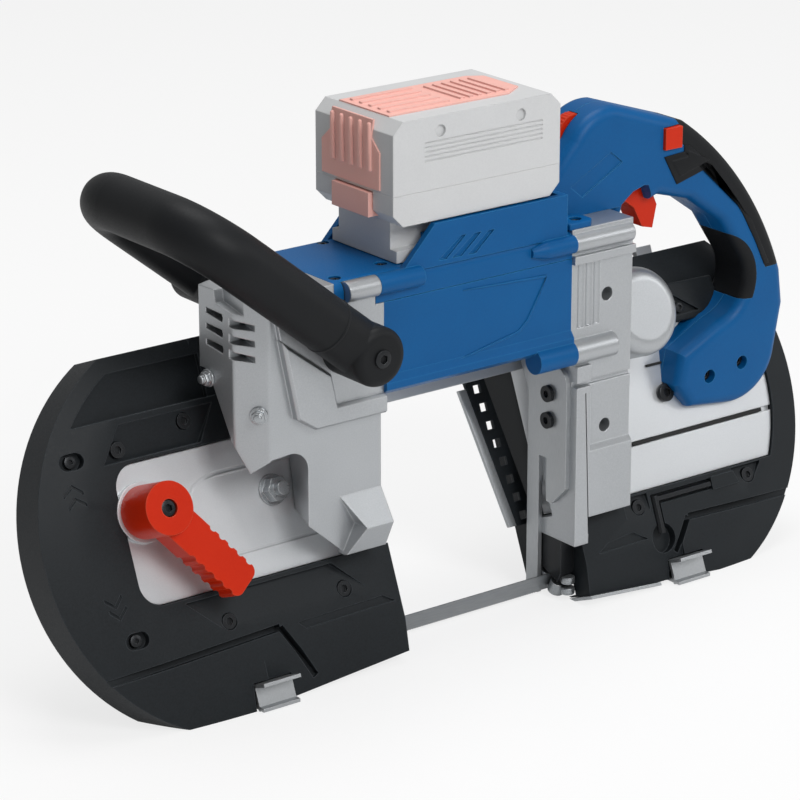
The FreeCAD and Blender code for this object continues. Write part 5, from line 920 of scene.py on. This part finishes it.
dressFrontBracket(louvres)
print("front bracket dressed")

# deck casting: the front panel's machined field ends in a shallow groove above and below the tension lever
fieldGroove = {"above": ((-177.0, 116.0), (-175.6, 126.0), (-172.6, 130.8), (-165.6, 134.2), (-156.4, 135.6),
                         (-118.0, 135.6)),
               "below": ((-160.0, 88.9), (-92.0, 88.9)), "width": 1.9, "floor": -4.1, "cut": 6.0}


def dressDeck(look):
    casting = nodeCopy("deck_frame", "deckCasting")
    for run in (look["above"], look["below"]):
        cutOut(casting, slab("groove", ribbon(run, look["width"]), look["floor"], look["cut"], deckMatrix))
    standFor("deck_frame", casting, "frame", deckSilver)


dressDeck(fieldGroove)
print("deck dressed")

# studio: pale floor, one large soft key above the camera, a top panel and a weak fill from the right
studio = {
    "floorHalf": 9.0, "floorColour": "#F4F4F4", "whiteShare": 0.78, "mirrorShare": 0.3, "worldLight": 0.22,
    "lamps": (
        ("keyPanel", (-0.1, -2.3, 2.0), 1.1, 42),
        ("topPanel", (0.2, 0.3, 2.3), 1.3, 26),
        ("fillPanel", (1.9, -1.5, 1.2), 0.9, 8),
    ),
    "lookAt": (0.0, 0.0, 0.13),
}


# how white a ray finds the surroundings: fully for the camera and through glass, partly in a mirror
def seenShare(tree, mirrorShare):
    rays = addNode(tree, "ShaderNodeLightPath")
    mirrored = addNode(tree, "ShaderNodeMath", {"operation": "MULTIPLY"}, {1: mirrorShare},
                       {0: rays.outputs["Is Glossy Ray"]})
    seen = addNode(tree, "ShaderNodeMath", {"operation": "ADD", "use_clamp": True}, None,
                   {0: rays.outputs["Is Camera Ray"], 1: mirrored.outputs[0]})
    return addNode(tree, "ShaderNodeMath", {"operation": "ADD", "use_clamp": True}, None,
                   {0: seen.outputs[0], 1: rays.outputs["Is Transmission Ray"]})


def makeStudio(look):
    bpy.ops.object.select_all(action="DESELECT")
    bpy.ops.mesh.primitive_plane_add(size=2 * look["floorHalf"], location=(0, 0, 0))
    floor = bpy.context.active_object
    floor.name = "paleFloor"
    material = bpy.data.materials.new("paleFloorPaint")     # matt paint that stays white where it is seen
    material.use_nodes = True
    tree = material.node_tree
    tree.nodes.clear()
    seen = seenShare(tree, look["mirrorShare"])
    share = addNode(tree, "ShaderNodeMath", {"operation": "MULTIPLY"}, {1: look["whiteShare"]},
                    {0: seen.outputs[0]})
    paint = addNode(tree, "ShaderNodeBsdfDiffuse", None, {"Color": linear(look["floorColour"])})
    white = addNode(tree, "ShaderNodeEmission", None, {"Color": (1, 1, 1, 1), "Strength": 1.0})
    both = addNode(tree, "ShaderNodeMixShader", None, None,
                   {0: share.outputs[0], 1: paint.outputs[0], 2: white.outputs[0]})
    addNode(tree, "ShaderNodeOutputMaterial", None, None, {"Surface": both.outputs[0]})
    floor.data.materials.append(material)

    world = bpy.data.worlds.new("studioAir")
    scene.world = world
    world.use_nodes = True
    tree = world.node_tree
    tree.nodes.clear()
    seen = seenShare(tree, look["mirrorShare"])
    level = addNode(tree, "ShaderNodeMapRange", None, {"To Min": look["worldLight"], "To Max": 1.0},
                    {"Value": seen.outputs[0]})
    air = addNode(tree, "ShaderNodeBackground", None, {"Color": (1, 1, 1, 1)},
                  {"Strength": level.outputs["Result"]})
    addNode(tree, "ShaderNodeOutputWorld", None, None, {"Surface": air.outputs[0]})

    target = Vector(look["lookAt"])
    for name, place, size, power in look["lamps"]:
        lamp = bpy.data.lights.new(name, "AREA")
        lamp.shape = "SQUARE"
        lamp.size = size
        lamp.energy = power
        holder = bpy.data.objects.new(name, lamp)
        scene.collection.objects.link(holder)
        holder.location = place
        holder.rotation_euler = (target - Vector(place)).to_track_quat("-Z", "Y").to_euler()


makeStudio(studio)
scene.view_settings.view_transform = "Standard"

# camera of the photograph: long lens, about a tenth of a turn round to the front end, looking down
view = {"place": (-1.1842, -1.51495, 0.8037), "lens": 157.5, "sensor": 36.0, "down": 19.2, "round": -37.4,
        "farthest": 50.0}
camera = bpy.data.objects.new("camera", bpy.data.cameras.new("camera"))
scene.collection.objects.link(camera)
camera.data.lens = view["lens"]
camera.data.sensor_width = view["sensor"]
camera.data.clip_end = view["farthest"]
camera.location = view["place"]
camera.rotation_euler = (math.radians(90 - view["down"]), 0, math.radians(view["round"]))
scene.camera = camera
print("studio and camera set")
